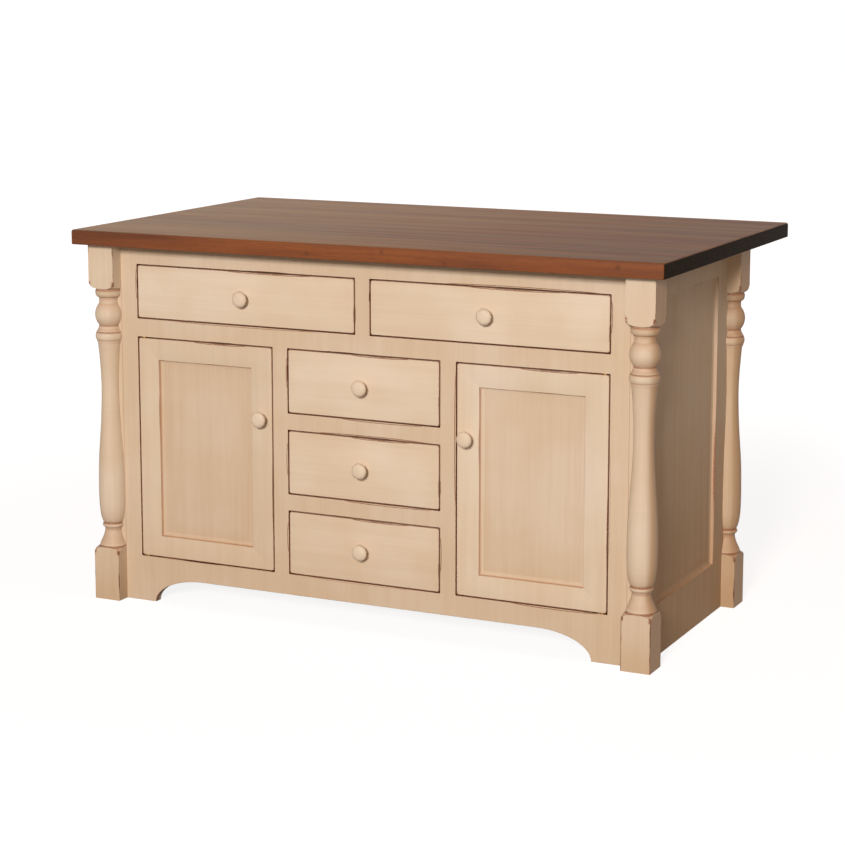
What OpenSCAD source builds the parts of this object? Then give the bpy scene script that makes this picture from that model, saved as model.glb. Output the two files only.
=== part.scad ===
// Kitchen island unit: a thick worktop on four turned corner posts, around a painted
// frame-and-panel cabinet with five inset drawers and two inset doors.
// Millimetres. X runs along the front, Y to the back, Z up. The origin lies on the
// floor under the middle of the worktop. Everything is symmetric about X = 0.

/* [Worktop] */
// Length of the worktop along the front
top_l = 1524; // [1400:2:1800]
// Depth of the worktop from front to back
top_d = 914; // [840:2:1000]
// Thickness of the worktop
top_t = 36; // [28:1:50]
// Height of the worktop's upper face above the floor
top_z = 925; // [890:1:960]
// Overhang past the posts at each end
side_overhang = 30; // [10:1:50]
// Overhang past the posts at the front
front_overhang = 30; // [10:1:50]
// Overhang past the posts at the back, the breakfast-bar side
back_overhang = 216; // [150:1:260]
// Radius on the worktop's upper edges
top_edge_r = 6; // [2:0.5:10]
// Radius on the worktop's lower edges
top_under_r = 2; // [1:0.5:6]
// Radius of the worktop's corners, seen from above
top_corner_r = 8; // [3:0.5:20]

/* [Corner posts] */
// Side of the square post blank
post_w = 70; // [66:1:80]
// How far the posts stand proud of the front and back frames
proud_y = 36; // [33:0.5:40]
// How far the posts stand proud of the side frames
proud_x = 34; // [30:0.5:38]
// Height of the foot block at its arrises
foot_h = 122; // [100:1:150]
// Height of the top block at its arrises
top_block_h = 92; // [70:1:120]
// Largest radius of the turning, just inside the square blank
turned_r = 34.7; // [33:0.1:34.9]
// Smallest radius of the long taper
waist_r = 23.1; // [18:0.1:26]

/* [Turning, from the foot up] */
// Height of the rounded shoulder on the foot block
shoulder_h = 31.4; // [26:0.2:38]
// Run of the rounded shoulder, from outside the arris inwards
shoulder_run = 22; // [17:0.5:26]
// Depth of the shoulder's start below the end of the arrises
shoulder_drop = 21.4; // [16:0.2:25]
// Height of the bead on the shoulder
foot_bead_h = 5.3; // [3:0.1:8]
// Height of the reel above the foot block
reel_h = 44.3; // [36:0.1:54]
// Radius of the reel's waist
reel_r = 21.8; // [18:0.1:24]
// Height of the ring between the reel and the vase
ring_h = 8.8; // [6:0.1:12]
// Height of the fillet above the vase
fillet_h = 4.3; // [3:0.1:7]
// Height of the bead above the vase
bead_h = 20.8; // [16:0.2:26]
// Height of the cove under the ball
cove_h = 17.1; // [12:0.1:22]
// Height of the ball
ball_h = 51.6; // [44:0.2:56]
// Height of the neck above the ball
neck_h = 16.7; // [10:0.1:22]
// Radius of the neck
neck_r = 24.2; // [20:0.1:27]
// Height of the cushion above the neck
cushion_h = 16.5; // [12:0.1:22]
// Height of the quirk between the cushion and the bell
quirk_h = 6; // [4:0.1:8]
// Height of the bell that flares into the top block
bell_h = 21.6; // [16:0.2:26]
// Run of the bell, from inside outwards
bell_run = 17.2; // [14:0.2:20]
// How far the bell's curve goes on above the start of the arrises
bell_up = 3.6; // [1:0.1:6]

/* [Front frame] */
// Thickness of the front frame
frame_t = 22; // [18:1:28]
// Width of the outer stiles, partly behind the posts
stile_w = 82; // [70:1:100]
// Width of the short stile between the two top drawers
centre_stile_w = 38; // [30:1:60]
// Width of the stiles between the doors and the drawer bank
mullion_w = 40; // [30:1:60]
// Height of the top rail
top_rail_h = 48; // [36:1:70]
// Height of the rail under the top drawers
mid_rail_h = 45; // [36:1:70]
// Height of the rails inside the drawer bank
bank_rail_h = 40; // [30:1:60]
// Height of the arched bottom rail
bottom_rail_h = 114; // [105:1:140]
// Height of the arch above the floor
arch_h = 63; // [30:1:80]
// Width of each bracket foot left by the arch
bracket_w = 38; // [25:1:80]
// Length of the arch's quarter ellipse at each end
arch_run = 136; // [80:1:180]

/* [Drawers and doors] */
// Height of the two top drawer openings
top_open_h = 133; // [110:1:160]
// Width of the drawer bank's openings
bank_open_w = 400; // [340:2:460]
// Gap all round each drawer front and door
front_gap = 2.5; // [2:0.1:4]
// Thickness of the drawer fronts and doors
front_t = 20; // [18:1:26]
// Easing of the edges of the drawer fronts
front_ease = 2; // [1:0.25:4]
// Width of the flat face of a door stile
door_stile = 56; // [45:1:75]
// Width of the flat face of a door rail
door_rail = 52; // [45:1:75]
// Room between the drawer boxes and the back wall
box_back_room = 34; // [18:1:120]
// Thickness of the drawer box boards
box_t = 12; // [10:1:15]
// Thickness of the drawer bottoms
box_bottom_t = 6; // [4:0.5:8]
// Height of the drawer bottom above the box's lower edge
box_bottom_z = 12; // [8:1:20]
// Room above a drawer box
box_head = 10; // [6:1:30]
// Side play of a drawer box in its guides, each side
box_play = 0.7; // [0.4:0.1:1.5]
// Distance from one dovetail of a drawer box to the next, about
tail_pitch = 36; // [28:1:48]
// Width of the narrow end of the pins between the dovetails
pin_w = 8; // [5:0.5:12]
// Diameter of the knobs
knob_d = 38; // [28:1:46]
// How far the knobs stand out
knob_l = 29; // [22:1:36]
// Height of the door knobs above the floor
door_knob_z = 488; // [400:1:560]
// Distance from a door's free edge to its knob
door_knob_in = 27; // [22:1:32]

/* [Side and back frames] */
// Thickness of the side and back frames
wall_t = 22; // [20:1:28]
// Width of a side or back stile that shows beside the post
show_stile = 66; // [50:1:90]
// Height of the side and back top rails
side_top_rail = 63; // [50:1:90]
// Height of the side and back bottom rails
side_bottom_rail = 123; // [110:1:150]
// Width of the stiles between the back panels
back_mullion = 80; // [60:1:110]
// Depth of the wide panels behind the frame's face
wall_sink = 10; // [6:1:11]
// Thickness of the wide panels
wall_panel_t = 8; // [6:0.5:9]
// Depth of the door panels behind the door's face
door_sink = 8; // [5:1:9]
// Thickness of the door panels
door_panel_t = 6; // [5:0.5:7]
// Width of the sloped moulding around every panel
stick_w = 10; // [6:1:14]
// Depth of the grooves that hold the panels
groove_d = 9; // [6:1:12]

/* [Carcass] */
// Thickness of the floor, partitions and shelves
board_t = 18; // [15:1:22]
// Height of the shelves above the floor
shelf_z = 380; // [300:5:450]
// Thickness of the web frame and its runners
web_t = 20; // [16:1:24]
// Width of the web frame's rails
web_rail_w = 60; // [40:1:90]
// Section of the battens that hold the floor and shelves
batten = 18; // [14:1:24]
// Width of the ledge that each drawer side runs on
ledge_w = 20; // [16:1:30]
// Height of the guides beside the drawer boxes
guide_h = 16; // [12:1:24]
// Width of the cleats that hold the worktop
cleat_w = 40; // [30:1:60]
// How far the outer cleats pass behind the outer stiles
cleat_past = 14; // [5:1:30]

/* [Fittings] */
// Radius of the hinge pins
pin_r = 2.5; // [2:0.1:3.5]
// Running clearance around a hinge pin
pin_play = 0.05; // [0.02:0.01:0.1]
// Distance of a hinge pin from the door's edge
pin_in = 12; // [10:0.5:16]
// Distance of a hinge pin behind the door's face
pin_back = 7; // [6:0.5:8]
// Length of the hinge leaves
leaf_l = 42; // [34:1:60]
// Width of the hinge leaves
leaf_w = 11; // [9:0.5:12]
// Thickness of the hinge leaves
leaf_t = 2.4; // [2:0.1:3]
// Shank radius of the worktop screws
screw_r = 2.2; // [1.8:0.1:3]
// Length of the worktop screws
screw_l = 48; // [40:1:50]
// Thickness of worktop left over the screws' tips
screw_cover = 14; // [8:1:20]
// Distance of the end screws from the front and back frames
screw_in = 60; // [40:1:120]
// Width of the door catches
catch_w = 15; // [12:0.5:20]
// Height of the door catches
catch_h = 46; // [36:1:60]
// Length of the door catches, from their nose back
catch_l = 20; // [16:1:30]
// Distance of the door catches below the rail over the doors
catch_down = 24; // [10:1:60]
// Thickness of the strike plates on the doors
strike_t = 1.2; // [0.8:0.1:2]

/* [Hidden] */
$fn = 96;

paint = "#DEC3A2";
paint_shade = "#D2B592";
stained = "#7D4A2C";
bare_wood = "#D9B98A";
ply = "#C9A878";
brass_tone = "#B08D4C";
steel_tone = "#9A9A98";
magnet_tone = "#5A4A3A";

seam = 0.2;             // hairline at every glued joint between two boards
run_gap = 0.3;          // gap under a drawer box, and from a box to its stop
over = 1;               // how far a cutting shape passes the face that it cuts
tail_slope = 1 / 6;     // how much each flank of a dovetail spreads on its way out

// Planes of the cabinet, worked out from the worktop inwards.
cab_h = top_z - top_t;
post_x = top_l / 2 - side_overhang - post_w / 2;
post_front_y = -top_d / 2 + front_overhang + post_w / 2;
post_back_y = top_d / 2 - back_overhang - post_w / 2;
cab_x = post_x + post_w / 2 - proud_x;
cab_y0 = post_front_y - post_w / 2 + proud_y;
cab_y1 = post_back_y + post_w / 2 - proud_y;
in_x = cab_x - wall_t;
in_y0 = cab_y0 + frame_t;
in_y1 = cab_y1 - wall_t;

// Openings of the front frame.
open_x = cab_x - stile_w;
top_open_z1 = cab_h - top_rail_h;
top_open_z0 = top_open_z1 - top_open_h;
door_z1 = top_open_z0 - mid_rail_h;
door_z0 = bottom_rail_h;
bank_x = bank_open_w / 2;
door_x0 = bank_x + mullion_w;
door_x1 = open_x;
bank_open_h = (door_z1 - door_z0 - 2 * bank_rail_h) / 3;
top_drawer_x0 = centre_stile_w / 2;
top_drawer_w = open_x - top_drawer_x0;
function bank_z(row) = door_z1 - bank_open_h - row * (bank_open_h + bank_rail_h);

part_x = bank_x + mullion_w / 2 - board_t / 2;  // inner face of each partition
floor_z = door_z0 - board_t;                    // underside of the cabinet floor
web_z = top_open_z0 - web_t;                    // underside of the web frame
box_end_y = in_y1 - box_back_room;              // back end of every drawer box
door_w = door_x1 - door_x0 - 2 * front_gap;
door_h = door_z1 - door_z0 - 2 * front_gap;
hinge_x = door_x1 - front_gap - pin_in;
hinge_y = cab_y0 + pin_back;
screw_rows = [in_y0 + screw_in, (in_y0 + in_y1) / 2, in_y1 - screw_in];

// ---- helpers ----

module block(lo, hi) translate(lo) cube(hi - lo);

module on_side(side) {
    if (side < 0) mirror([1, 0, 0]) children();
    else children();
}

module both_sides() {
    children();
    mirror([1, 0, 0]) children();
}

// Turns a drawing in the X-Z plane into a solid that runs from y0 to y1.
module along_y(y0, y1) translate([0, y1, 0]) rotate([90, 0, 0]) linear_extrude(y1 - y0) children();

// Turns a drawing whose first axis is Y and second is Z into a solid from x0 to x1.
module along_x(x0, x1) translate([x0, 0, 0]) rotate([90, 0, 90]) linear_extrude(x1 - x0) children();

// A rectangle from lo to hi whose corners are rounded by r = [lower, upper].
module soft_rect(lo, hi, r) {
    low = [lo[0] + r[0], hi[0] - r[0]];
    high = [lo[0] + r[1], hi[0] - r[1]];
    translate([lo[0], lo[1] + r[0]]) square([hi[0] - lo[0], hi[1] - lo[1] - r[0] - r[1]]);
    translate([low[0], lo[1]]) square([low[1] - low[0], r[0] + 0.01]);
    translate([high[0], hi[1] - r[1] - 0.01]) square([high[1] - high[0], r[1] + 0.01]);
    for (x = low) translate([x, lo[1] + r[0]]) circle(r[0]);
    for (x = high) translate([x, hi[1] - r[1]]) circle(r[1]);
}

// Points of an elliptical arc about [cr, cz], from angle a0 to a1.
function arc(cr, cz, rr, rz, a0, a1, n) =
    [for (i = [0:n]) let (a = a0 + (a1 - a0) * i / n) [cr + rr * cos(a), cz + rz * sin(a)]];

function spline_at(a, b, c, d, t) =
    (2 * b + (c - a) * t + (2 * a - 5 * b + 4 * c - d) * t * t
     + (3 * b - a - 3 * c + d) * t * t * t) / 2;

// A smooth curve through the points p, with n steps between each two.
function smooth(p, n) =
    [for (i = [0:len(p) - 2]) for (k = [0:n - 1])
        spline_at(p[max(i - 1, 0)], p[i], p[i + 1], p[min(i + 2, len(p) - 1)], k / n),
     p[len(p) - 1]];

// ---- worktop ----

module worktop_body()
    intersection() {
        translate([0, 0, cab_h])
            linear_extrude(top_t)
                soft_rect([-top_l / 2, -top_d / 2], [top_l / 2, top_d / 2],
                          [top_corner_r, top_corner_r]);
        along_y(-top_d / 2, top_d / 2)
            soft_rect([-top_l / 2, cab_h], [top_l / 2, top_z], [top_under_r, top_edge_r]);
        along_x(-top_l / 2, top_l / 2)
            soft_rect([-top_d / 2, cab_h], [top_d / 2, top_z], [top_under_r, top_edge_r]);
    }

screw_head_z = top_z - screw_cover - screw_l;
screw_head_h = 3;
screw_play = 0.1;       // between a screw's shank and its hole
cleat_x = open_x + cleat_past - cleat_w / 2;
cleat_xs = [-cleat_x, 0, cleat_x];

module screw_bores(r, z0, z1)
    for (x = cleat_xs) for (y = screw_rows)
        translate([x, y, z0]) cylinder(r = r, h = z1 - z0);

module worktop()
    color(stained)
        difference() {
            worktop_body();
            screw_bores(screw_r + screw_play, cab_h - over, screw_head_z + screw_l + 0.5);
        }

module worktop_cleats()
    color(bare_wood)
        difference() {
            for (x = cleat_xs)
                block([x - cleat_w / 2, in_y0, top_open_z1],
                      [x + cleat_w / 2, in_y1, cab_h]);
            screw_bores(screw_r + screw_play, top_open_z1 - over, cab_h + over);
            screw_bores(screw_r * 2.5, top_open_z1 - over, screw_head_z);
        }

module worktop_screws()
    color(steel_tone)
        for (x = cleat_xs) for (y = screw_rows)
            translate([x, y, screw_head_z]) {
                cylinder(r = screw_r, h = screw_l);
                translate([0, 0, -screw_head_h]) cylinder(r = screw_r * 2, h = screw_head_h);
            }

// ---- corner posts ----

// Levels of the turning's elements, up from the foot block and down from the top block.
shoulder_z = foot_h - shoulder_drop;
reel_z = shoulder_z + shoulder_h + foot_bead_h;
ring_z = reel_z + reel_h;
vase_z0 = ring_z + ring_h;
bell_z = cab_h - top_block_h + bell_up - bell_h;
cushion_z = bell_z - quirk_h;
neck_z = cushion_z - cushion_h;
ball_z = neck_z - neck_h;
cove_z = ball_z - ball_h;
bead_z = cove_z - cove_h;
fillet_z = bead_z - bead_h;
vase_z1 = fillet_z - fillet_h;

// A radius between the narrow one, at share 0, and the turning's largest, at share 1.
function swell(narrow, share) = narrow + share * (turned_r - narrow);
shoulder_r = swell(reel_r, 0.9);
bead_r = swell(neck_r, 0.57);
cushion_r = swell(neck_r, 0.84);

// Smooth stretches: shares of the swell and of the stretch's height.
reel_shape = [[1, 0], [0.736, 0.187], [0.264, 0.483], [0, 0.783], [0.023, 0.907], [0.217, 1]];
vase_shape = [[0.11, 0], [0.56, 0.03], [0.88, 0.08], [1, 0.155], [0.98, 0.25], [0.87, 0.35],
              [0.63, 0.44], [0.35, 0.53], [0.13, 0.625], [0, 0.73], [0.05, 0.82],
              [0.27, 0.915], [0.54, 1]];
cove_shape = [[0.77, 0.03], [0.38, 0.38], [0.11, 0.87]];
neck_shape = [[0.076, 0.05], [0, 0.55], [0.076, 0.96]];
function stretch(shape, narrow, z, h, n) =
    smooth([for (p = shape) [swell(narrow, p[0]), z + p[1] * h]], n);

ball_turn = 39;         // half of the angle that the ball's arc spans
ball_arc_r = ball_h / 2 / sin(ball_turn);
bead_turn = 80;         // half of the angle that the bead's arc spans

// Half of the turning, from the floor up, as radius and height.
turned_profile = concat(
    [[0, -over], [post_w, -over], [post_w, shoulder_z]],
    arc(shoulder_r, shoulder_z, shoulder_run, shoulder_h, 0, 90, 10),
    [[swell(reel_r, 0.87), reel_z - foot_bead_h * 0.77],
     [swell(reel_r, 0.985), reel_z - foot_bead_h * 0.53]],
    stretch(reel_shape, reel_r, reel_z, reel_h, 3),
    arc(swell(reel_r, 0.2), ring_z + ring_h / 2, ring_h * 0.36, ring_h * 0.48, -90, 90, 6),
    stretch(vase_shape, waist_r, vase_z0, vase_z1 - vase_z0, 3),
    [[swell(neck_r, 0.7), vase_z1 + fillet_h * 0.05],
     [swell(neck_r, 0.7), fillet_z - fillet_h * 0.12]],
    arc(bead_r, fillet_z + bead_h / 2, turned_r - bead_r, bead_h / 2 / sin(bead_turn),
        -bead_turn, bead_turn, 7),
    stretch(cove_shape, neck_r, bead_z, cove_h, 3),
    arc(turned_r - ball_arc_r, cove_z + ball_h / 2, ball_arc_r, ball_arc_r,
        -ball_turn, ball_turn, 12),
    stretch(neck_shape, neck_r, ball_z, neck_h, 2),
    arc(swell(neck_r, 0.076), neck_z + cushion_h * 0.7, cushion_r - swell(neck_r, 0.076),
        cushion_h * 0.7, -90, 0, 6),
    [[cushion_r, cushion_z], [swell(neck_r, 0.72), cushion_z + quirk_h * 0.23],
     [swell(neck_r, 0.72), bell_z - quirk_h * 0.1]],
    arc(cushion_r, bell_z + bell_h, bell_run, bell_h, -90, 0, 8),
    [[post_w, bell_z + bell_h], [post_w, cab_h + over], [0, cab_h + over]]);

// A square blank turned between its two blocks, then notched on the inner quarter so
// that it stands around the corner of the cabinet. Drawn for the front right corner.
module corner_post()
    color(paint)
        difference() {
            intersection() {
                translate([-post_w / 2, -post_w / 2, 0]) cube([post_w, post_w, cab_h]);
                rotate_extrude() polygon(turned_profile);
            }
            block([-post_w, post_w / 2 - (post_w - proud_y), -over],
                  [post_w / 2 - proud_x, post_w, cab_h + over]);
        }

module front_post(side)
    on_side(side) translate([post_x, post_front_y, 0]) corner_post();

module back_post(side)
    on_side(side) translate([post_x, post_back_y, 0]) mirror([0, 1, 0]) corner_post();

// ---- front frame ----

module front_stiles()
    color(paint) {
        both_sides() block([open_x + seam, cab_y0, 0], [cab_x, in_y0, cab_h]);
        block([-centre_stile_w / 2, cab_y0, top_open_z0 + seam],
              [centre_stile_w / 2, in_y0, top_open_z1 - seam]);
        both_sides()
            block([bank_x, cab_y0, door_z0 + seam], [door_x0, in_y0, door_z1 - seam]);
    }

module front_rails()
    color(paint)
        difference() {
            union() {
                block([-open_x, cab_y0, top_open_z1], [open_x, in_y0, cab_h]);
                block([-open_x, cab_y0, door_z1], [open_x, in_y0, top_open_z0]);
                for (row = [0:1])
                    block([-bank_x + seam, cab_y0, bank_z(row) - bank_rail_h],
                          [bank_x - seam, in_y0, bank_z(row)]);
            }
            plate_pockets();
        }

// Half of the arch's outline: level in the middle, a quarter ellipse at the end.
arch_x = open_x - bracket_w - arch_run;
half_arch = concat([[0, -over], [0, arch_h]],
                   arc(arch_x, 0, arch_run, arch_h, 90, 0, 14),
                   [[arch_x + arch_run, -over]]);

module front_arched_rail()
    color(paint)
        difference() {
            block([-open_x, cab_y0, 0], [open_x, in_y0, door_z0]);
            along_y(cab_y0 - over, in_y0 + over) {
                polygon(half_arch);
                mirror([1, 0]) polygon(half_arch);
            }
            plate_pockets();
        }

// ---- frame-and-panel walls and doors ----
// A frame is drawn with its face at y = 0 and its thickness towards +Y. The flats are
// the widths [left, right, bottom, top] outside the sloped moulding.

// The cut that leaves the sloped moulding, mitred at its corners.
module moulding_cut(lo, hi, sink) {
    intersection() {
        translate([0, 0, lo[1]])
            linear_extrude(hi[1] - lo[1])
                polygon([[lo[0], -over], [lo[0], 0], [lo[0] + stick_w, sink],
                         [hi[0] - stick_w, sink], [hi[0], 0], [hi[0], -over]]);
        along_x(lo[0], hi[0])
            polygon([[-over, lo[1]], [0, lo[1]], [sink, lo[1] + stick_w],
                     [sink, hi[1] - stick_w], [0, hi[1]], [-over, hi[1]]]);
    }
}

module panel_cuts(lo, hi, sink, panel_t) {
    inset = stick_w - groove_d;
    moulding_cut(lo, hi, sink);
    block([lo[0] + inset, sink, lo[1] + inset],
          [hi[0] - inset, sink + panel_t, hi[1] - inset]);
}

module panel_board(lo, hi, sink, panel_t) {
    inset = stick_w - groove_d + 1;
    block([lo[0] + inset, sink, lo[1] + inset],
          [hi[0] - inset, sink + panel_t, hi[1] - inset]);
}

module framing(w, h, t, flats, sink, panel_t)
    difference() {
        union() {
            left = flats[0] + stick_w;
            right = w - flats[1] - stick_w;
            block([0, 0, 0], [left, t, h]);
            block([right, 0, 0], [w, t, h]);
            block([left + seam, 0, 0], [right - seam, t, flats[2] + stick_w]);
            block([left + seam, 0, h - flats[3] - stick_w], [right - seam, t, h]);
        }
        panel_cuts([flats[0], flats[2]], [w - flats[1], h - flats[3]], sink, panel_t);
    }

// Side walls stand between the front frame and the back frame.
side_w = in_y1 - in_y0;
side_flats = [post_front_y + post_w / 2 + show_stile - in_y0,
              in_y1 - (post_back_y - post_w / 2 - show_stile),
              side_bottom_rail, side_top_rail];

module place_side(side)
    on_side(side) translate([cab_x, in_y0, 0]) rotate([0, 0, 90]) children();

module side_frame(side)
    color(paint_shade)
        place_side(side) framing(side_w, cab_h, wall_t, side_flats, wall_sink, wall_panel_t);

module side_panel(side)
    color(paint_shade)
        place_side(side)
            panel_board([side_flats[0], side_flats[2]],
                        [side_w - side_flats[1], cab_h - side_flats[3]],
                        wall_sink, wall_panel_t);

// The back wall has three panels of equal width.
back_flat = cab_x - (post_x - post_w / 2 - show_stile);
back_in = 2 * cab_x - 2 * back_flat;
back_panel_w = (back_in - 2 * back_mullion) / 3;
function back_lo(i) = [back_flat + i * (back_panel_w + back_mullion), side_bottom_rail];
function back_hi(i) = [back_lo(i)[0] + back_panel_w, cab_h - side_top_rail];

module place_back() translate([cab_x, cab_y1, 0]) rotate([0, 0, 180]) children();

module back_frame()
    color(paint_shade)
        place_back() difference() {
            union() {
                edge = back_flat + stick_w;
                w = 2 * cab_x;
                low = side_bottom_rail + stick_w;
                high = cab_h - side_top_rail - stick_w;
                block([0, 0, 0], [edge, wall_t, cab_h]);
                block([w - edge, 0, 0], [w, wall_t, cab_h]);
                block([edge + seam, 0, 0], [w - edge - seam, wall_t, low]);
                block([edge + seam, 0, high], [w - edge - seam, wall_t, cab_h]);
                for (i = [1, 2])
                    block([back_lo(i)[0] - back_mullion - stick_w, 0, low + seam],
                          [back_lo(i)[0] + stick_w, wall_t, high - seam]);
            }
            for (i = [0:2]) panel_cuts(back_lo(i), back_hi(i), wall_sink, wall_panel_t);
        }

module back_panels()
    color(paint_shade)
        place_back()
            for (i = [0:2]) panel_board(back_lo(i), back_hi(i), wall_sink, wall_panel_t);

// ---- carcass ----

module cabinet_floor()
    color(bare_wood) block([-in_x, in_y0, floor_z], [in_x, in_y1, door_z0]);

module floor_battens()
    color(bare_wood)
        both_sides() block([in_x - batten, in_y0, floor_z - batten], [in_x, in_y1, floor_z]);

module partitions()
    color(bare_wood)
        both_sides() block([part_x, in_y0, door_z0], [part_x + board_t, in_y1, web_z]);

// The open frame that the two top drawers run on.
module web_frame()
    color(bare_wood) {
        front_end = in_y0 + web_rail_w;
        back_start = in_y1 - web_rail_w;
        block([-in_x, in_y0, web_z], [in_x, front_end, top_open_z0]);
        block([-in_x, back_start, web_z], [in_x, in_y1, top_open_z0]);
        both_sides()
            block([open_x - ledge_w, front_end + seam, web_z],
                  [in_x, back_start - seam, top_open_z0]);
        block([-centre_stile_w / 2 - ledge_w, front_end + seam, web_z],
              [centre_stile_w / 2 + ledge_w, back_start - seam, top_open_z0]);
    }

module top_drawer_guides()
    color(bare_wood) {
        both_sides()
            block([open_x, in_y0, top_open_z0], [open_x + batten, in_y1, top_open_z0 + guide_h]);
        block([-centre_stile_w / 2, in_y0, top_open_z0],
              [centre_stile_w / 2, in_y1, top_open_z0 + guide_h]);
    }

// Rebated runners: the drawer above runs on the ledge between the guides, and the
// underside keeps the drawer below from tipping.
module bank_runners()
    color(bare_wood)
        both_sides() {
            for (row = [0:1]) {
                z = bank_z(row);
                block([bank_x - ledge_w, in_y0, z - bank_rail_h], [part_x, in_y1, z]);
                block([bank_x, in_y0, z - over], [part_x, in_y1, z + guide_h]);
            }
            block([bank_x - ledge_w, in_y0, door_z1], [part_x, in_y1, web_z]);
            block([bank_x, in_y0, door_z0], [part_x, in_y1, door_z0 + guide_h]);
        }

stop_l = 14;

module drawer_stops()
    color(bare_wood)
        both_sides() {
            y0 = box_end_y + run_gap;
            for (row = [0:2])
                block([bank_x - ledge_w, y0, bank_z(row)],
                      [bank_x - seam, y0 + stop_l, bank_z(row) + stop_l]);
            for (x = [centre_stile_w / 2 + seam, open_x - ledge_w - seam])
                block([x, y0, top_open_z0], [x + ledge_w, y0 + stop_l, top_open_z0 + stop_l]);
        }

shelf_play = 1;

module shelves()
    color(bare_wood)
        both_sides()
            block([part_x + board_t + shelf_play, in_y0 + batten, shelf_z - board_t],
                  [in_x - shelf_play, in_y1 - shelf_play, shelf_z]);

module shelf_battens()
    color(bare_wood)
        both_sides()
            for (x = [part_x + board_t, in_x - batten])
                block([x, in_y0 + 2 * batten, shelf_z - board_t - batten],
                      [x + batten, in_y1, shelf_z - board_t]);

// ---- door fittings ----

// Knife hinges lie in the door's top and bottom edges, so that nothing shows in front.
// One drawing serves the four corners: dir is +1 at the top, -1 at the bottom.
leaf_edge = 3;          // from the door's edge to the end of the leaf
leaf_x1 = hinge_x + pin_in - leaf_edge;
leaf_x0 = leaf_x1 - leaf_l;
collar_w = 2;           // how far the collar under a pin stands out from it

module leaf_box(z0, z1)
    block([leaf_x0, hinge_y - leaf_w / 2, min(z0, z1)],
          [leaf_x1, hinge_y + leaf_w / 2, max(z0, z1)]);

function frame_z(dir) = dir > 0 ? door_z1 : door_z0;
function door_edge_z(dir) = frame_z(dir) - dir * front_gap;

module plate_pockets()
    both_sides() for (dir = [-1, 1]) leaf_box(frame_z(dir) - dir * over, frame_z(dir) + dir * leaf_t);

module hinge_plates()
    color(brass_tone)
        both_sides() for (dir = [-1, 1])
            difference() {
                leaf_box(frame_z(dir), frame_z(dir) + dir * leaf_t);
                translate([hinge_x, hinge_y, frame_z(dir) - leaf_t - over])
                    cylinder(r = pin_r + pin_play, h = 2 * leaf_t + 2 * over);
            }

// A pin or collar of radius r from the door's leaf towards the frame.
module hinge_round(dir, r, reach) {
    z = door_edge_z(dir) - dir * leaf_t / 2;
    tip = door_edge_z(dir) + dir * reach;
    translate([hinge_x, hinge_y, min(z, tip)]) cylinder(r = r, h = abs(tip - z));
}

module door_hinges(side)
    color(brass_tone)
        on_side(side) for (dir = [-1, 1]) {
            leaf_box(door_edge_z(dir) - dir * leaf_t, door_edge_z(dir));
            hinge_round(dir, pin_r, front_gap + leaf_t - pin_play);
            hinge_round(dir, pin_r + collar_w, front_gap - run_gap);
        }

catch_z = door_z1 - catch_down - catch_h;
catch_x0 = door_x0 + over;              // the nose just clears the stile's edge
catch_x1 = catch_x0 + catch_w;
catch_tip_y = cab_y0 + front_t + strike_t + run_gap;
catch_end_y = max(in_y0, catch_tip_y) + catch_l;

// A magnetic catch on each partition; its nose passes the frame's edge to the strike.
module door_catches()
    color(magnet_tone)
        both_sides() {
            block([part_x + board_t, max(in_y0, catch_tip_y), catch_z],
                  [catch_x1, catch_end_y, catch_z + catch_h]);
            block([catch_x0, catch_tip_y, catch_z], [catch_x1, catch_end_y, catch_z + catch_h]);
        }

strike_edge = catch_h / 12;             // how much shorter the strike is, each end

module door_strike(side)
    color(steel_tone)
        on_side(side)
            block([door_x0 + front_gap * 2, cab_y0 + front_t, catch_z + strike_edge],
                  [catch_x1, cab_y0 + front_t + strike_t, catch_z + catch_h - strike_edge]);

// ---- doors ----

module place_door(side)
    on_side(side)
        translate([door_x0 + front_gap, cab_y0, door_z0 + front_gap]) children();

door_flats = [door_stile, door_stile, door_rail, door_rail];

module door_frame(side)
    color(paint)
        difference() {
            place_door(side) framing(door_w, door_h, front_t, door_flats, door_sink, door_panel_t);
            on_side(side) for (dir = [-1, 1])
                leaf_box(door_edge_z(dir) - dir * leaf_t, door_edge_z(dir) + dir * over);
            on_side(side) knob_bore(door_knob_x, door_knob_z);
        }

module door_panel(side)
    color(paint)
        place_door(side)
            panel_board([door_stile, door_rail], [door_w - door_stile, door_h - door_rail],
                        door_sink, door_panel_t);

// ---- knobs ----

door_knob_x = door_x0 + front_gap + door_knob_in;
tenon_r = 5;
tenon_l = 14;

// A turned mushroom knob, as radius and distance from the face it stands on.
knob_profile = concat(
    [[0, -tenon_l], [tenon_r, -tenon_l], [tenon_r, 0], [knob_d * 0.26, 0]],
    smooth([[knob_d * 0.26, knob_l * 0.055], [knob_d * 0.22, knob_l * 0.17],
            [knob_d * 0.215, knob_l * 0.35], [knob_d * 0.33, knob_l * 0.5],
            [knob_d * 0.47, knob_l * 0.58]], 4),
    smooth([[knob_d / 2, knob_l * 0.66], [knob_d * 0.485, knob_l * 0.78],
            [knob_d * 0.36, knob_l * 0.93], [knob_d * 0.17, knob_l * 0.99]], 4),
    [[0, knob_l]]);

module knob(x, z)
    color(paint)
        translate([x, cab_y0, z]) rotate([90, 0, 0]) rotate_extrude() polygon(knob_profile);

module knob_bore(x, z)
    translate([x, cab_y0 + tenon_l + 0.5, z])
        rotate([90, 0, 0]) cylinder(r = tenon_r + 0.05, h = tenon_l + 0.5 + over);

module door_knob(side) on_side(side) knob(door_knob_x, door_knob_z);

// ---- drawers ----
// A drawer fills the opening from x0 to x0 + w, z0 to z0 + h in the front frame.

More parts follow.
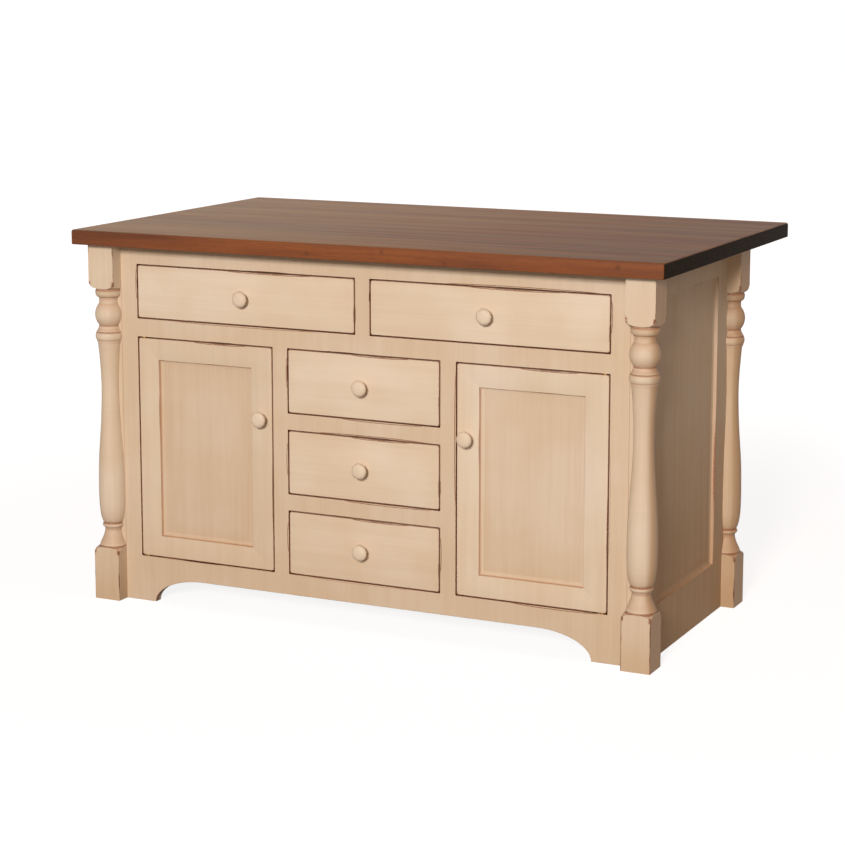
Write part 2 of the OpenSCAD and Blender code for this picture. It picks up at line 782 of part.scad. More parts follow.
module drawer_front(x0, z0, w, h)
    color(paint)
        difference() {
            intersection() {
                lo = [x0 + front_gap, z0 + front_gap];
                hi = [x0 + w - front_gap, z0 + h - front_gap];
                along_y(cab_y0, cab_y0 + front_t)
                    soft_rect(lo, hi, [front_ease * 1.5, front_ease * 1.5]);
                translate([0, 0, z0])
                    linear_extrude(h)
                        soft_rect([lo[0], cab_y0], [hi[0], cab_y0 + front_t],
                                  [front_ease, front_ease / 2]);
                along_x(x0, x0 + w)
                    rotate(-90) mirror([1, 0])
                        soft_rect([lo[1], cab_y0], [hi[1], cab_y0 + front_t],
                                  [front_ease, front_ease / 2]);
            }
            knob_bore(x0 + w / 2, z0 + h / 2);
        }

module bottom_groove(x0, z0, w, grow) {
    z = z0 + run_gap + box_bottom_z;
    block([x0 + box_play + box_t / 2 - grow, cab_y0 + front_t + box_t / 2 - grow, z],
          [x0 + w - box_play - box_t / 2 + grow, box_end_y + grow, z + box_bottom_t]);
}

// One row of dovetails in the Y-Z plane, between z0 and z1. They spread from y towards
// dir, and start a little inside the board that carries them. Their sockets are the same
// drawing with grow on every side.
module tails(y, dir, z0, z1, grow) {
    rows = round((z1 - z0) / tail_pitch);
    pitch = (z1 - z0) / rows;
    ends = [-2 * seam, box_t + grow];
    half = [for (end = ends) (pitch - pin_w) / 2 + grow + tail_slope * (end - box_t)];
    for (row = [0:rows - 1])
        translate([y, z0 + (row + 0.5) * pitch])
            polygon([[dir * ends[0], -half[0]], [dir * ends[1], -half[1]],
                     [dir * ends[1], half[1]], [dir * ends[0], half[0]]]);
}

module drawer_tails(low, back_low, high, grow) {
    tails(cab_y0 + front_t + box_t, -1, low, high, grow);
    tails(box_end_y - box_t, 1, back_low, high, grow);
}

// A side of a drawer box in the Y-Z plane. At the back it runs on under the back board,
// as far as the bottom.
module drawer_side(low, back_low, high) {
    y0 = cab_y0 + front_t + box_t + seam;
    y1 = box_end_y - box_t - seam;
    translate([y0, low]) square([y1 - y0, high - low]);
    translate([y0, low]) square([box_end_y - y0, back_low - seam - low]);
    drawer_tails(low, back_low, high, 0);
}

module drawer_box(x0, z0, w, h)
    color(bare_wood)
        difference() {
            left = x0 + box_play;
            right = x0 + w - box_play;
            front_y = cab_y0 + front_t;
            low = z0 + run_gap;
            high = z0 + h - box_head;
            back_low = low + box_bottom_z + box_bottom_t;
            union() {
                for (x = [left, right - box_t])
                    along_x(x, x + box_t) drawer_side(low, back_low, high);
                difference() {
                    union() {
                        block([left, front_y, low], [right, front_y + box_t, high]);
                        block([left, box_end_y - box_t, back_low], [right, box_end_y, high]);
                    }
                    for (x = [left - over, right - box_t - seam])
                        along_x(x, x + box_t + seam + over)
                            drawer_tails(low, back_low, high, seam);
                }
            }
            bottom_groove(x0, z0, w, 0.5);
        }

module drawer_bottom(x0, z0, w) color(ply) bottom_groove(x0, z0, w, 0);

module drawer_knob(x0, z0, w, h) knob(x0 + w / 2, z0 + h / 2);

module top_front(side)
    on_side(side) drawer_front(top_drawer_x0, top_open_z0, top_drawer_w, top_open_h);
module top_box(side)
    on_side(side) drawer_box(top_drawer_x0, top_open_z0, top_drawer_w, top_open_h);
module top_bottom(side)
    on_side(side) drawer_bottom(top_drawer_x0, top_open_z0, top_drawer_w);
module top_knob(side)
    on_side(side) drawer_knob(top_drawer_x0, top_open_z0, top_drawer_w, top_open_h);

module bank_front(row) drawer_front(-bank_x, bank_z(row), bank_open_w, bank_open_h);
module bank_box(row) drawer_box(-bank_x, bank_z(row), bank_open_w, bank_open_h);
module bank_bottom(row) drawer_bottom(-bank_x, bank_z(row), bank_open_w);
module bank_knob(row) drawer_knob(-bank_x, bank_z(row), bank_open_w, bank_open_h);

// ---- sub-parts ----

worktop();
front_post(-1);  // post_front_left
front_post(1);  // post_front_right
back_post(-1);  // post_back_left
back_post(1);  // post_back_right
front_stiles();
front_rails();
front_arched_rail();
side_frame(-1);  // side_frame_left
side_panel(-1);  // side_panel_left
side_frame(1);  // side_frame_right
side_panel(1);  // side_panel_right
back_frame();
back_panels();
cabinet_floor();
floor_battens();
partitions();
web_frame();
top_drawer_guides();
bank_runners();
drawer_stops();
shelves();
shelf_battens();
worktop_cleats();
worktop_screws();
hinge_plates();
door_catches();
top_front(-1);  // drawer_top_left_front
top_box(-1);  // drawer_top_left_box
top_bottom(-1);  // drawer_top_left_bottom
top_knob(-1);  // drawer_top_left_knob
top_front(1);  // drawer_top_right_front
top_box(1);  // drawer_top_right_box
top_bottom(1);  // drawer_top_right_bottom
top_knob(1);  // drawer_top_right_knob
bank_front(0);  // drawer_upper_front
bank_box(0);  // drawer_upper_box
bank_bottom(0);  // drawer_upper_bottom
bank_knob(0);  // drawer_upper_knob
bank_front(1);  // drawer_middle_front
bank_box(1);  // drawer_middle_box
bank_bottom(1);  // drawer_middle_bottom
bank_knob(1);  // drawer_middle_knob
bank_front(2);  // drawer_lower_front
bank_box(2);  // drawer_lower_box
bank_bottom(2);  // drawer_lower_bottom
bank_knob(2);  // drawer_lower_knob
door_frame(-1);  // door_left_frame
door_panel(-1);  // door_left_panel
door_knob(-1);  // door_left_knob
door_hinges(-1);  // door_left_hinges
door_strike(-1);  // door_left_strike
door_frame(1);  // door_right_frame
door_panel(1);  // door_right_panel
door_knob(1);  // door_right_knob
door_hinges(1);  // door_right_hinges
door_strike(1);  // door_right_strike
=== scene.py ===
"""Looks of a kitchen island unit: glazed cream paint over maple under a stained maple worktop.

Metres. X runs along the front, Y to the back, Z up; the origin is on the floor under the
middle of the worktop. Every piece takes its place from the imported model's nodes.
"""
import math
import random

import bmesh
import bpy
import numpy as np
from mathutils import Matrix, Vector


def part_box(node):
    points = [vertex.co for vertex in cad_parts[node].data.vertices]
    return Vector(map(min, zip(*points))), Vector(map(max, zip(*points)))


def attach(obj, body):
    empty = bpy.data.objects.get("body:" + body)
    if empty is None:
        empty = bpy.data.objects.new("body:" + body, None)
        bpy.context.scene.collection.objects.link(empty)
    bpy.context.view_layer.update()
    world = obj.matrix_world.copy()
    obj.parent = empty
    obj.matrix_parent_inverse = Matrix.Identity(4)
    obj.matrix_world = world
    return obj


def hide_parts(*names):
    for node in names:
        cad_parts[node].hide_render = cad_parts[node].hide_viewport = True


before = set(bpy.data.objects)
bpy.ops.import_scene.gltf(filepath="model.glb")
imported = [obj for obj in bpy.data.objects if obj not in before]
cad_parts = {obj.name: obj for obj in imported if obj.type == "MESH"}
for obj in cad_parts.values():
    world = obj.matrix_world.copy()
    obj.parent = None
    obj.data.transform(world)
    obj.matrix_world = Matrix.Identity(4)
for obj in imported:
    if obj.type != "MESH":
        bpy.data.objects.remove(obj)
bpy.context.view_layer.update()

MM = 0.001
GAP = 2.5 * MM  # round every drawer front and door
SIDES = ("left", "right")
BANK = ("upper", "middle", "lower")
DRAWERS = ("drawer_top_left", "drawer_top_right") + tuple(f"drawer_{b}" for b in BANK)
DOORS = ("door_left", "door_right")

# ---- placing

FACE_AXES = {  # u runs along the face, v is up, w points out of the face
    "front": ((1, 0, 0), (0, -1, 0)),
    "back": ((-1, 0, 0), (0, 1, 0)),
    "right": ((0, 1, 0), (1, 0, 0)),
    "left": ((0, -1, 0), (-1, 0, 0)),
}


class Face:
    """The outer face of a node, as a flat drawing board: (u, v) along it and w out of it."""

    def __init__(self, side, source):
        u, w = (Vector(axis) for axis in FACE_AXES[side])
        low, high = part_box(source)
        outer = max(low.dot(w), high.dot(w))
        self.matrix = Matrix(((u.x, 0, w.x, w.x * outer), (u.y, 0, w.y, w.y * outer),
                              (0, 1, 0, 0), (0, 0, 0, 1)))
        self.u = u

    def rectangle(self, source):
        """Lowest and highest (u, v) of a node on this face."""
        low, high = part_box(source)
        ends = sorted((low.dot(self.u), high.dot(self.u)))
        return (ends[0], low.z), (ends[1], high.z)


def middle_of(source):
    low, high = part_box(source)
    return (low + high) / 2


def grown(rectangle, by):
    (u0, v0), (u1, v1) = rectangle
    return (u0 - by, v0 - by), (u1 + by, v1 + by)


# ---- mesh helpers

def linked(name, mesh):
    piece = bpy.data.objects.new(name, mesh)
    bpy.context.scene.collection.objects.link(piece)
    return piece


def finish_piece(piece, body, material, replaces, sharp=20):
    """Gives a made mesh its finish, its shading and the body that it rides on."""
    if material is not None:
        piece.data.materials.clear()
        piece.data.materials.append(material)
    piece.data.shade_smooth()
    piece.data.set_sharp_from_angle(angle=math.radians(sharp))
    if replaces:
        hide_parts(*replaces)
    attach(piece, body)


def rounded(rectangle, r, steps=4):
    """Points round a rectangle, anticlockwise, with its corners rounded by r."""
    (u0, v0), (u1, v1) = rectangle
    corners = [(u1 - r, v0 + r, -90), (u1 - r, v1 - r, 0), (u0 + r, v1 - r, 90),
               (u0 + r, v0 + r, 180)]
    turns = [(u, v, math.radians(start + 90 * i / steps))
             for u, v, start in corners for i in range(steps + 1)]
    return [(u + r * math.cos(a), v + r * math.sin(a)) for u, v, a in turns]


def mesh_of(name, points, faces=()):
    mesh = bpy.data.meshes.new(name)
    mesh.from_pydata(points, [], faces)
    return mesh


def weld(mesh):
    bm = bmesh.new()
    bm.from_mesh(mesh)
    bmesh.ops.remove_doubles(bm, verts=bm.verts, dist=0.01 * MM)
    bmesh.ops.dissolve_degenerate(bm, edges=bm.edges, dist=0.001 * MM)
    bm.to_mesh(mesh)
    bm.free()


def ease(bm, by):
    """One flat bevel along every sharp edge."""
    edges = [e for e in bm.edges if len(e.link_faces) == 2 and e.calc_face_angle() > 0.5]
    bmesh.ops.bevel(bm, geom=edges, offset=by, segments=1, affect="EDGES", clamp_overlap=True)


def store(mesh, name, values):
    """Keeps one number per point under a name, for a material to read."""
    layer = mesh.attributes.get(name) or mesh.attributes.new(name, "FLOAT", "POINT")
    layer.data.foreach_set("value", np.asarray(values, np.float32))


def plate(name, outer, holes, thickness, arris):
    """A board with holes, cut from a flat drawing, with every arris eased. Its face is at w = 0."""
    curve = bpy.data.curves.new(name, "CURVE")
    curve.dimensions, curve.fill_mode = "2D", "BOTH"
    curve.extrude = thickness / 2 - arris
    curve.bevel_depth, curve.bevel_resolution, curve.offset = arris, 1, -arris
    for loop in [outer, *holes]:
        spline = curve.splines.new("POLY")
        spline.points.add(len(loop) - 1)
        for point, (u, v) in zip(spline.points, loop):
            point.co = (u, v, 0, 1)
        spline.use_cyclic_u = True
    drawing = linked(name, curve)
    bpy.context.view_layer.update()
    shape = drawing.evaluated_get(bpy.context.evaluated_depsgraph_get())
    mesh = bpy.data.meshes.new_from_object(shape)
    bpy.data.objects.remove(drawing)
    mesh.transform(Matrix.Translation((0, 0, -thickness / 2)))
    weld(mesh)
    depths = [-v.co.z for v in mesh.vertices]
    flat, eased = 0.02 * MM, arris * 1.01
    store(mesh, "glaze", [0 if d < flat else 0.6 if d < eased else 0 for d in depths])
    store(mesh, "wear", [0 if d < eased else max(0.1, WALL_WEAR * (1 - d / thickness))
                         for d in depths])
    return mesh


WALL_WEAR = 0.42  # the thin, warm glaze on the walls of every gap
# Section of the moulding round a sunk panel: share of its width, share of its depth, glaze
# and wear. A steep, rubbed wall comes first, then a nearly flat margin down to the panel.
MOULDING = ((-0.04, 0, 0, 0), (0, 0.02, 0.2, 0.2), (0.02, 0.1, 0.45, 1),
            (0.08, 0.42, 0.12, 1), (0.16, 0.72, 0.1, 0.9), (0.24, 0.8, 0.1, 0.4),
            (0.5, 0.87, 0, 0), (0.75, 0.94, 0, 0), (1, 1, 0.1, 0))


def moulding_rings(outline, deep, rubbed):
    """Rings from the edge of a frame's flat down to its panel."""
    return [(grown(outline, -across * MOULDING_W), 0.05 * MM, -down * deep, pooled * rubbed,
             bare * rubbed) for across, down, pooled, bare in MOULDING]


def front_rings(outer, corner, thick, arris):
    """Rings from the back of a board round its eased edge to its face."""
    return [(grown(outer, -arris), corner, -thick, 0, 0.1),
            (outer, corner, arris - thick, 0, WALL_WEAR), (outer, corner, -arris, 0.4, WALL_WEAR),
            (grown(outer, -0.3 * arris), corner, -0.3 * arris, 0.6, 0.2),
            (grown(outer, -arris), corner, 0, 0, 0)]


def loft(rings, ends):
    """A mesh through rounded rectangles, each (rectangle, corner radius, w, glaze, wear).

    Its ends are "capped" like a board, "joined" into a frame or left "open".
    """
    loops = [rounded(ring[0], ring[1]) for ring in rings]
    count = len(loops[0])
    points = [(u, v, ring[2]) for loop, ring in zip(loops, rings) for u, v in loop]
    rows = len(rings) if ends == "joined" else len(rings) - 1
    faces = []
    for row in range(rows):
        after = (row + 1) % len(rings)
        for i in range(count):
            j = (i + 1) % count
            faces.append((row * count + i, row * count + j, after * count + j,
                          after * count + i))
    if ends == "capped":
        faces.append(tuple(reversed(range(count))))
        faces.append(tuple(range((len(rings) - 1) * count, len(rings) * count)))
    mesh = mesh_of("loft", points, faces)
    store(mesh, "glaze", [ring[3] for ring in rings for _ in range(count)])
    store(mesh, "wear", [ring[4] for ring in rings for _ in range(count)])
    return mesh


def joined(name, meshes, matrix):
    """One object from several meshes, moved onto its face."""
    bm = bmesh.new()
    for mesh in meshes:
        bm.from_mesh(mesh)
    whole = bpy.data.meshes.new(name)
    bm.to_mesh(whole)
    bm.free()
    for mesh in meshes:
        bpy.data.meshes.remove(mesh)
    whole.transform(matrix)
    return linked(name, whole)


# ---- materials

def colour(code):
    """An sRGB hex colour as Blender's linear RGBA."""
    parts = [int(code[i:i + 2], 16) / 255 for i in (1, 3, 5)]
    return (*[c / 12.92 if c <= 0.04045 else ((c + 0.055) / 1.055) ** 2.4 for c in parts], 1)


class Value:
    """An output of a node. Arithmetic adds Math nodes, and a key picks another output."""

    def __init__(self, tree, made, output=0):
        self.tree, self.made = tree, made
        self.socket = made.outputs[output] if made.outputs else None

    def __getitem__(self, output):
        return Value(self.tree, self.made, output)

    def math(self, operation, *others):
        return node(self.tree, "ShaderNodeMath", dict(enumerate((self, *others))),
                    operation=operation)

    def __add__(self, other):
        return self.math("ADD", other)

    def __sub__(self, other):
        return self.math("SUBTRACT", other)

    def __mul__(self, other):
        return self.math("MULTIPLY", other)

    def __truediv__(self, other):
        return self.math("DIVIDE", other)

    def __abs__(self):
        return self.math("ABSOLUTE")


def node(tree, kind, inputs=None, **settings):
    """Adds a node with its settings; inputs maps a socket to a number, hex colour or Value."""
    made = tree.nodes.new(kind)
    for key, value in settings.items():
        setattr(made, key, value)
    for socket, value in (inputs or {}).items():
        if isinstance(value, Value):
            tree.links.new(value.socket, made.inputs[socket])
        else:
            is_colour = isinstance(value, str) and value.startswith("#")
            made.inputs[socket].default_value = colour(value) if is_colour else value
    return Value(tree, made)


def millimetres(tree):
    """Object coordinates in millimetres."""
    return node(tree, "ShaderNodeMapping", {"Vector": node(tree, "ShaderNodeTexCoord")["Object"],
                                            "Scale": [1 / MM] * 3})


def pattern(tree, size, detail=3, roughness=0.5, distortion=0, place=None):
    """Noise whose spots are size mm long, on Object coordinates or on another place in mm."""
    scaled = node(tree, "ShaderNodeMapping", {"Vector": place or millimetres(tree),
                                              "Scale": [1 / length for length in size]})
    return node(tree, "ShaderNodeTexNoise",
                {"Vector": scaled, "Scale": 1, "Detail": detail, "Roughness": roughness,
                 "Distortion": distortion})


def band(value, low, high, to_low=0, to_high=1):
    """A smooth step from to_low to to_high while value goes from low to high."""
    return node(value.tree, "ShaderNodeMapRange",
                {"Value": value, "From Min": low, "From Max": high, "To Min": to_low,
                 "To Max": to_high}, interpolation_type="SMOOTHSTEP")


def blended(share, under, over):
    """Colour over laid on colour under."""
    return node(share.tree, "ShaderNodeMix", {0: share, 6: under, 7: over},
                data_type="RGBA")[2]


def material(name):
    made = bpy.data.materials.new(name)
    made.use_nodes = True
    made.node_tree.nodes.clear()
    return made, made.node_tree


def surface(made, inputs, height, relief):
    """Ends a material in its shader, with a bump of so much relief from a height of 0 to 1."""
    tree = made.node_tree
    bump = node(tree, "ShaderNodeBump", {"Height": height, "Distance": relief, "Strength": 1})
    shader = node(tree, "ShaderNodeBsdfPrincipled", {**inputs, "Normal": bump})
    node(tree, "ShaderNodeOutputMaterial", {"Surface": shader})
    return made


def two_toned(name, spots, tones, at, relief, **inputs):
    """A material of two close tones in one pattern, which also gives its bump.

    The tones change over while the pattern goes from the first value of at to the second.
    Roughness may be a pair, for the first tone and the second.
    """
    made, tree = material(name)
    height = pattern(tree, *spots)
    rough = inputs.pop("Roughness")
    if isinstance(rough, tuple):
        rough = band(height, 0.3, 0.7, *rough)
    tone = blended(band(height, *at), *tones)
    return surface(made, {"Base Color": tone, "Roughness": rough, **inputs}, height, relief)


def add_sockets(group, in_out, **kinds):
    for name, kind in kinds.items():
        group.interface.new_socket(name, in_out=in_out, socket_type=f"NodeSocket{kind}")


def outline_group():
    """How the sanding and glazing follow the outline of an opening, drawn once for all.

    Along the middle of each run the arris is rubbed through in a long lens, where the dark
    line swells and a hairline may run beside it. At the corners the paint is rubbed off.
    Distances from the outline are in mm. Those along a run are shares of its half length.
    """
    tree = bpy.data.node_groups.new("worn outline", "ShaderNodeTree")
    add_sockets(tree, "INPUT", Place="Vector", Middle="Vector", Half="Vector", Gap="Float",
                Wear="Float", Grit="Float", Seed="Float")
    add_sockets(tree, "OUTPUT", Dark="Float", Hair="Float", Corner="Float", Film="Float")
    given = node(tree, "NodeGroupInput")
    offset = node(tree, "ShaderNodeVectorMath", {0: given["Place"], 1: given["Middle"]},
                  operation="SUBTRACT")
    size = node(tree, "ShaderNodeVectorMath", {0: offset}, operation="ABSOLUTE")
    beyond = node(tree, "ShaderNodeVectorMath", {0: size, 1: given["Half"]},
                  operation="SUBTRACT")
    across = node(tree, "ShaderNodeSeparateXYZ", {0: beyond})
    run = node(tree, "ShaderNodeVectorMath", {0: offset, 1: given["Half"]}, operation="DIVIDE")
    run = node(tree, "ShaderNodeSeparateXYZ", {0: run})
    outside = node(tree, "ShaderNodeVectorMath", {0: beyond, 1: (0, 0, 0)},
                   operation="MAXIMUM")
    outside = node(tree, "ShaderNodeVectorMath", {0: outside}, operation="LENGTH")["Value"]
    inside = across[0].math("MAXIMUM", across[1]).math("MINIMUM", 0)
    signed = outside + inside
    edge = abs(signed) - given["Gap"]
    upright = across[0].math("GREATER_THAN", across[1])
    along = node(tree, "ShaderNodeMix", {0: upright, 2: run[0], 3: run[1]})[0]
    side = node(tree, "ShaderNodeMix", {0: upright, 2: run[1], 3: run[0]})[0]
    which = node(tree, "ShaderNodeCombineXYZ",
                 {0: side.math("SIGN"), 1: upright, 2: given["Seed"]})
    chance = node(tree, "ShaderNodeTexWhiteNoise", {"Vector": which})["Color"]
    chance = node(tree, "ShaderNodeSeparateColor", {0: chance})
    centre = chance[0] * 0.8 - 0.4
    reach = chance[1] * 0.35 + 0.22
    from_centre = abs(along - centre) / reach
    lens = band(from_centre, 0.2, 1, 1, 0)
    rubbed = band(chance[2], 0.25, 0.75, 0.15, 1)
    swell = lens * given["Wear"] * (given["Grit"] * 0.8 + 0.2) * rubbed
    to_corner = across[0] + across[1]
    near_corner = band(to_corner, -45, -4)
    depth = band(swell, 0.1, 1.2, 0.3, 1).math("MAXIMUM", near_corner * 0.85)
    dark = band(edge - swell, -0.2, 0.55, 1, 0) * depth
    long_lens = band(from_centre, 0.3, 1.7, 1, 0)
    side_of = (chance[1] - 0.45).math("SIGN")
    beside = signed * side_of - given["Gap"]
    hair_off = abs(beside - (long_lens * given["Wear"] * 1.2 + 0.4))
    hair = band(hair_off, 0.2, 1.2, 1, 0) * band(long_lens, 0.15, 0.5)
    hair = hair * band(chance[0], 0.3, 0.6) * band(given["Wear"], 1.3, 2)
    within = signed.math("LESS_THAN", 0)
    deepest = across[0].math("MINIMUM", across[1])
    corner = band(to_corner, -15, -5) * within * band(deepest, -14, -9)
    filled = band(to_corner, -9, -5, 0, 0.8) * band(given["Wear"], 1, 2)
    dark = dark.math("MAXIMUM", filled * within)
    film = band(edge, 0, 34, 1, 0) * (within * 0.9 + 0.1)
    node(tree, "NodeGroupOutput", {"Dark": dark, "Hair": hair, "Corner": corner, "Film": film})
    return tree


WORN_OUTLINE = outline_group()

CREAM = "#DAC9AF"  # the paint itself
RUBBED_CREAM = "#DFD1BB"  # where the wiped glaze left the paint clean
GLAZE_FILM_AND_SHADE = "#BD9E7B"  # thin glaze on the paint, also laid on as painted shade
GLAZE_POOL = "#593421"  # thick glaze in the seams
BARED_WOOD = "#B0714F"  # maple stained by the glaze, where the paint is rubbed through


# The default heights lay on a painted shade that darkens the paint towards the floor.
def glazed_paint(name, face=None, outlines=(), grain=(5, 5, 140), film=0.1, marks=None,
                 heights=((60, 420, 0.18, 0),), rough=0.6, gloss=0.1):
    """Sprayed enamel on maple, sanded through at the arrises and wiped with brown glaze.

    It gives the eye a warm, slightly cloudy cream with faint brushed streaks, dark seams and
    rubbed edges, under a satin lacquer. Each row of heights lays on a painted shade, as more
    glaze film, from what height to what height, in mm, and says how much at either.
    """
    made, tree = material(name)
    grit = pattern(tree, (3, 3, 3), 3, 0.6)
    cloud = pattern(tree, (150, 150, 150), 2)
    streak = pattern(tree, grain, 4, 0.65)
    broad = pattern(tree, [side * 4 for side in grain], 3)
    dark, wear, soft = (node(tree, "ShaderNodeAttribute", attribute_name=stored)["Fac"]
                        for stored in ("glaze", "wear", "film"))
    dark = dark * band(grit, 0.3, 0.55, 0.55, 1)
    on_face = band(wear, 0.05, 0.4, 1, 0.12)
    bare = wear * band(grit, 0.3, 0.6, 0.8, 1.1)
    if outlines:
        place = node(tree, "ShaderNodeSeparateXYZ", {0: millimetres(tree)})
        place = node(tree, "ShaderNodeCombineXYZ",
                     {0: place["X" if face in ("front", "back") else "Y"], 1: place["Z"]})
    for seed, (low, high, gap, rub, shade) in enumerate(outlines):
        middle = [(a + b) / 2 / MM for a, b in zip(low, high)]
        half = [(b - a) / 2 / MM for a, b in zip(low, high)]
        worn = node(tree, "ShaderNodeGroup",
                    {"Place": place, "Middle": (*middle, 0), "Half": (*half, 1000), "Gap": gap,
                     "Wear": rub, "Grit": grit, "Seed": seed + 1.0}, node_tree=WORN_OUTLINE)
        dark = dark.math("MAXIMUM", worn["Dark"] * on_face)
        dark = dark.math("MAXIMUM", worn["Hair"] * band(grit, 0.35, 0.5, 0.5, 0.9))
        bare = bare.math("MAXIMUM", worn["Corner"] * (0.4 * rub / GAP_WEAR))
        soft = soft.math("MAXIMUM", worn["Film"] * shade)
    if marks:
        block_dark, block_bare, flank = marks(tree, grit)
        dark = dark.math("MAXIMUM", block_dark)
        bare = bare.math("MAXIMUM", block_bare)
        # flank is painted shade on the outward sides of the posts.
        soft = soft + flank
    paint = blended(band(cloud, 0.35, 0.7), CREAM, RUBBED_CREAM)
    thin = band(streak, 0.35, 0.7, film - 0.02, film + 0.03)
    thin = thin + band(broad, 0.35, 0.7, -0.05, 0.05) + soft * 0.45
    level = node(tree, "ShaderNodeSeparateXYZ", {0: millimetres(tree)})["Z"]
    # Painted shade by height, laid on as more glaze film.
    for row in heights:
        thin = thin + band(level, *row)
    thin = thin.math("MAXIMUM", 0)
    paint = blended(thin, paint, GLAZE_FILM_AND_SHADE)
    bare = bare.math("MAXIMUM", band(dark, 0, 0.6))
    paint = blended(bare * 0.85, paint, BARED_WOOD)
    paint = blended(band(dark, 0.1, 0.9, 0, 0.85), paint, GLAZE_POOL)
    rough = band(streak, 0.3, 0.7, rough, rough + 0.08)
    fine = pattern(tree, [side / 3 for side in grain], 3, 0.6)
    return surface(made, {"Base Color": paint, "Roughness": rough, "IOR": 1.5,
                          "Specular IOR Level": gloss}, fine, 0.015 * MM)


PLANK = 114  # width of the worktop's planks, in mm

# Small dark knots and mineral marks in the worktop's front edge: place and radius in mm.
KNOTS = ((-110, -457, 900, 1), (84, -457, 914, 2), (240, -457, 896, 1), (655, -457, 911, 3))


def stained_maple():
    """Edge-glued maple planks, stained red-brown and lacquered to a satin.

    It gives the eye long soft streaks along the planks, fine pores and a grey sheen at a low
    angle. On the top a painted sheen lightens it to olive brown in broad streaks, more so at
    its left, and a painted shade darkens it towards its right. Its upright edges carry a
    painted shade too.
    """
    made, tree = material("stained_maple_lacquered")
    place = node(tree, "ShaderNodeSeparateXYZ", {0: millimetres(tree)})
    row = (place["Y"] / PLANK).math("FLOOR")
    chance = node(tree, "ShaderNodeTexWhiteNoise", {"W": row}, noise_dimensions="1D")
    shift = chance * 4000
    shifted = node(tree, "ShaderNodeCombineXYZ", {0: place["X"] + shift, 1: place["Y"],
                                                  2: place["Z"] + shift})

    def grain(length, width, detail, distortion=0):
        return pattern(tree, (length, width, width), detail, 0.6, distortion, shifted)

    bands = grain(820, 46, 3, 0.5)
    figure = grain(260, 11, 5, 0.9)
    pores = grain(22, 0.9, 2)
    tone = bands * 0.7 + figure * 0.26 + chance * 0.08
    ramp = node(tree, "ShaderNodeValToRGB", {0: tone})
    marks = ramp.made.color_ramp.elements
    marks[0].position, marks[0].color = 0.36, colour("#4C2610")
    marks[1].position, marks[1].color = 0.68, colour("#925326")
    marks.new(0.52).color = colour("#79421F")
    normal = node(tree, "ShaderNodeNewGeometry")["Normal"]
    up = node(tree, "ShaderNodeSeparateXYZ", {0: normal})["Z"]
    # Painted sheen: broad light olive streaks on the top, stronger to the left.
    painted_sheen = grain(1100, 60, 3) * 0.9 + band(place["X"], -800, 800, 0.12, -0.2)
    lying = band(up, 0.6, 0.95)
    painted_sheen = band(painted_sheen, 0, 0.9, 0, 0.75) * lying
    wood = blended(painted_sheen, ramp[0], "#B38E58")
    # Painted shade: the top darkens towards its right.
    wood = blended(lying * band(place["X"], 0, 800, 0, 0.35), wood, "#392C1B")
    # Painted shade on the upright edges of the worktop.
    wood = blended(band(up, 0.6, 0.95, 0.14, 0), wood, "#2E150B")
    wood = blended(band(pores, 0.5, 0.7, 0, 0.35), wood, "#3C1C0E")
    for x, y, z, radius in KNOTS:
        away = node(tree, "ShaderNodeVectorMath", {0: millimetres(tree), 1: (x, y, z)},
                    operation="DISTANCE")["Value"]
        spot = band(figure * 6 + away, radius, radius + 11, 0.45, 0)
        wood = blended(spot, wood, "#2E150B")
    dull = band(figure, 0.3, 0.7, 0.48, 0.58) + band(place["X"], -700, 500, 0, 0.1)
    return surface(made, {"Base Color": wood, "Roughness": dull, "IOR": 1.5,
                          "Specular IOR Level": 0.3}, pores, 0.04 * MM)


def end_grain_with_painted_shade():
    """The sawn ends of the worktop, whose end grain drinks the stain; their near black is partly
    painted shade.

    It gives the eye growth rings that are barely lighter than the wood between them.
    """
    return two_toned("stained_maple_end_grain_and_painted_shade", ((9, 38, 5), 4, 0.6, 1.4),
                     ("#1B150D", "#2A1F14"), (0.35, 0.65), 0.04 * MM,
                     **{"Roughness": 0.75, "IOR": 1.5, "Specular IOR Level": 0.05})


def bare_maple(axis):
    """Planed maple under a clear satin lacquer, with its grain along one axis.

    It gives the eye a pale, straight grain with a few darker streaks, and darker end grain
    where the lacquer sinks in, as in the pins of a dovetail.
    """
    made, tree = material(f"clear_lacquered_maple_{'xyz'[axis]}")
    board = node(tree, "ShaderNodeAttribute", attribute_name="board")["Fac"]
    board = node(tree, "ShaderNodeCombineXYZ", {0: board, 1: board, 2: board})
    place = node(tree, "ShaderNodeVectorMath", {0: millimetres(tree), 1: board},
                 operation="ADD")

    def grain(length, width, detail, distortion=0):
        size = [length if way == axis else width for way in range(3)]
        return pattern(tree, size, detail, 0.55, distortion, place)

    bands = grain(420, 18, 4, 0.6)
    pores = grain(16, 0.8, 2)
    wood = blended(band(bands, 0.35, 0.7), "#E6CDA4", "#D4AF7F")
    wood = blended(band(pores, 0.55, 0.75, 0, 0.3), wood, "#AE8758")
    normal = node(tree, "ShaderNodeTexCoord")["Normal"]
    normal = node(tree, "ShaderNodeSeparateXYZ", {0: normal})[axis]
    wood = blended(band(abs(normal), 0.7, 0.8, 0, 0.7), wood, "#A57A4C")
    return surface(made, {"Base Color": wood, "Roughness": 0.45, "IOR": 1.5,
                          "Specular IOR Level": 0.4}, pores, 0.04 * MM)


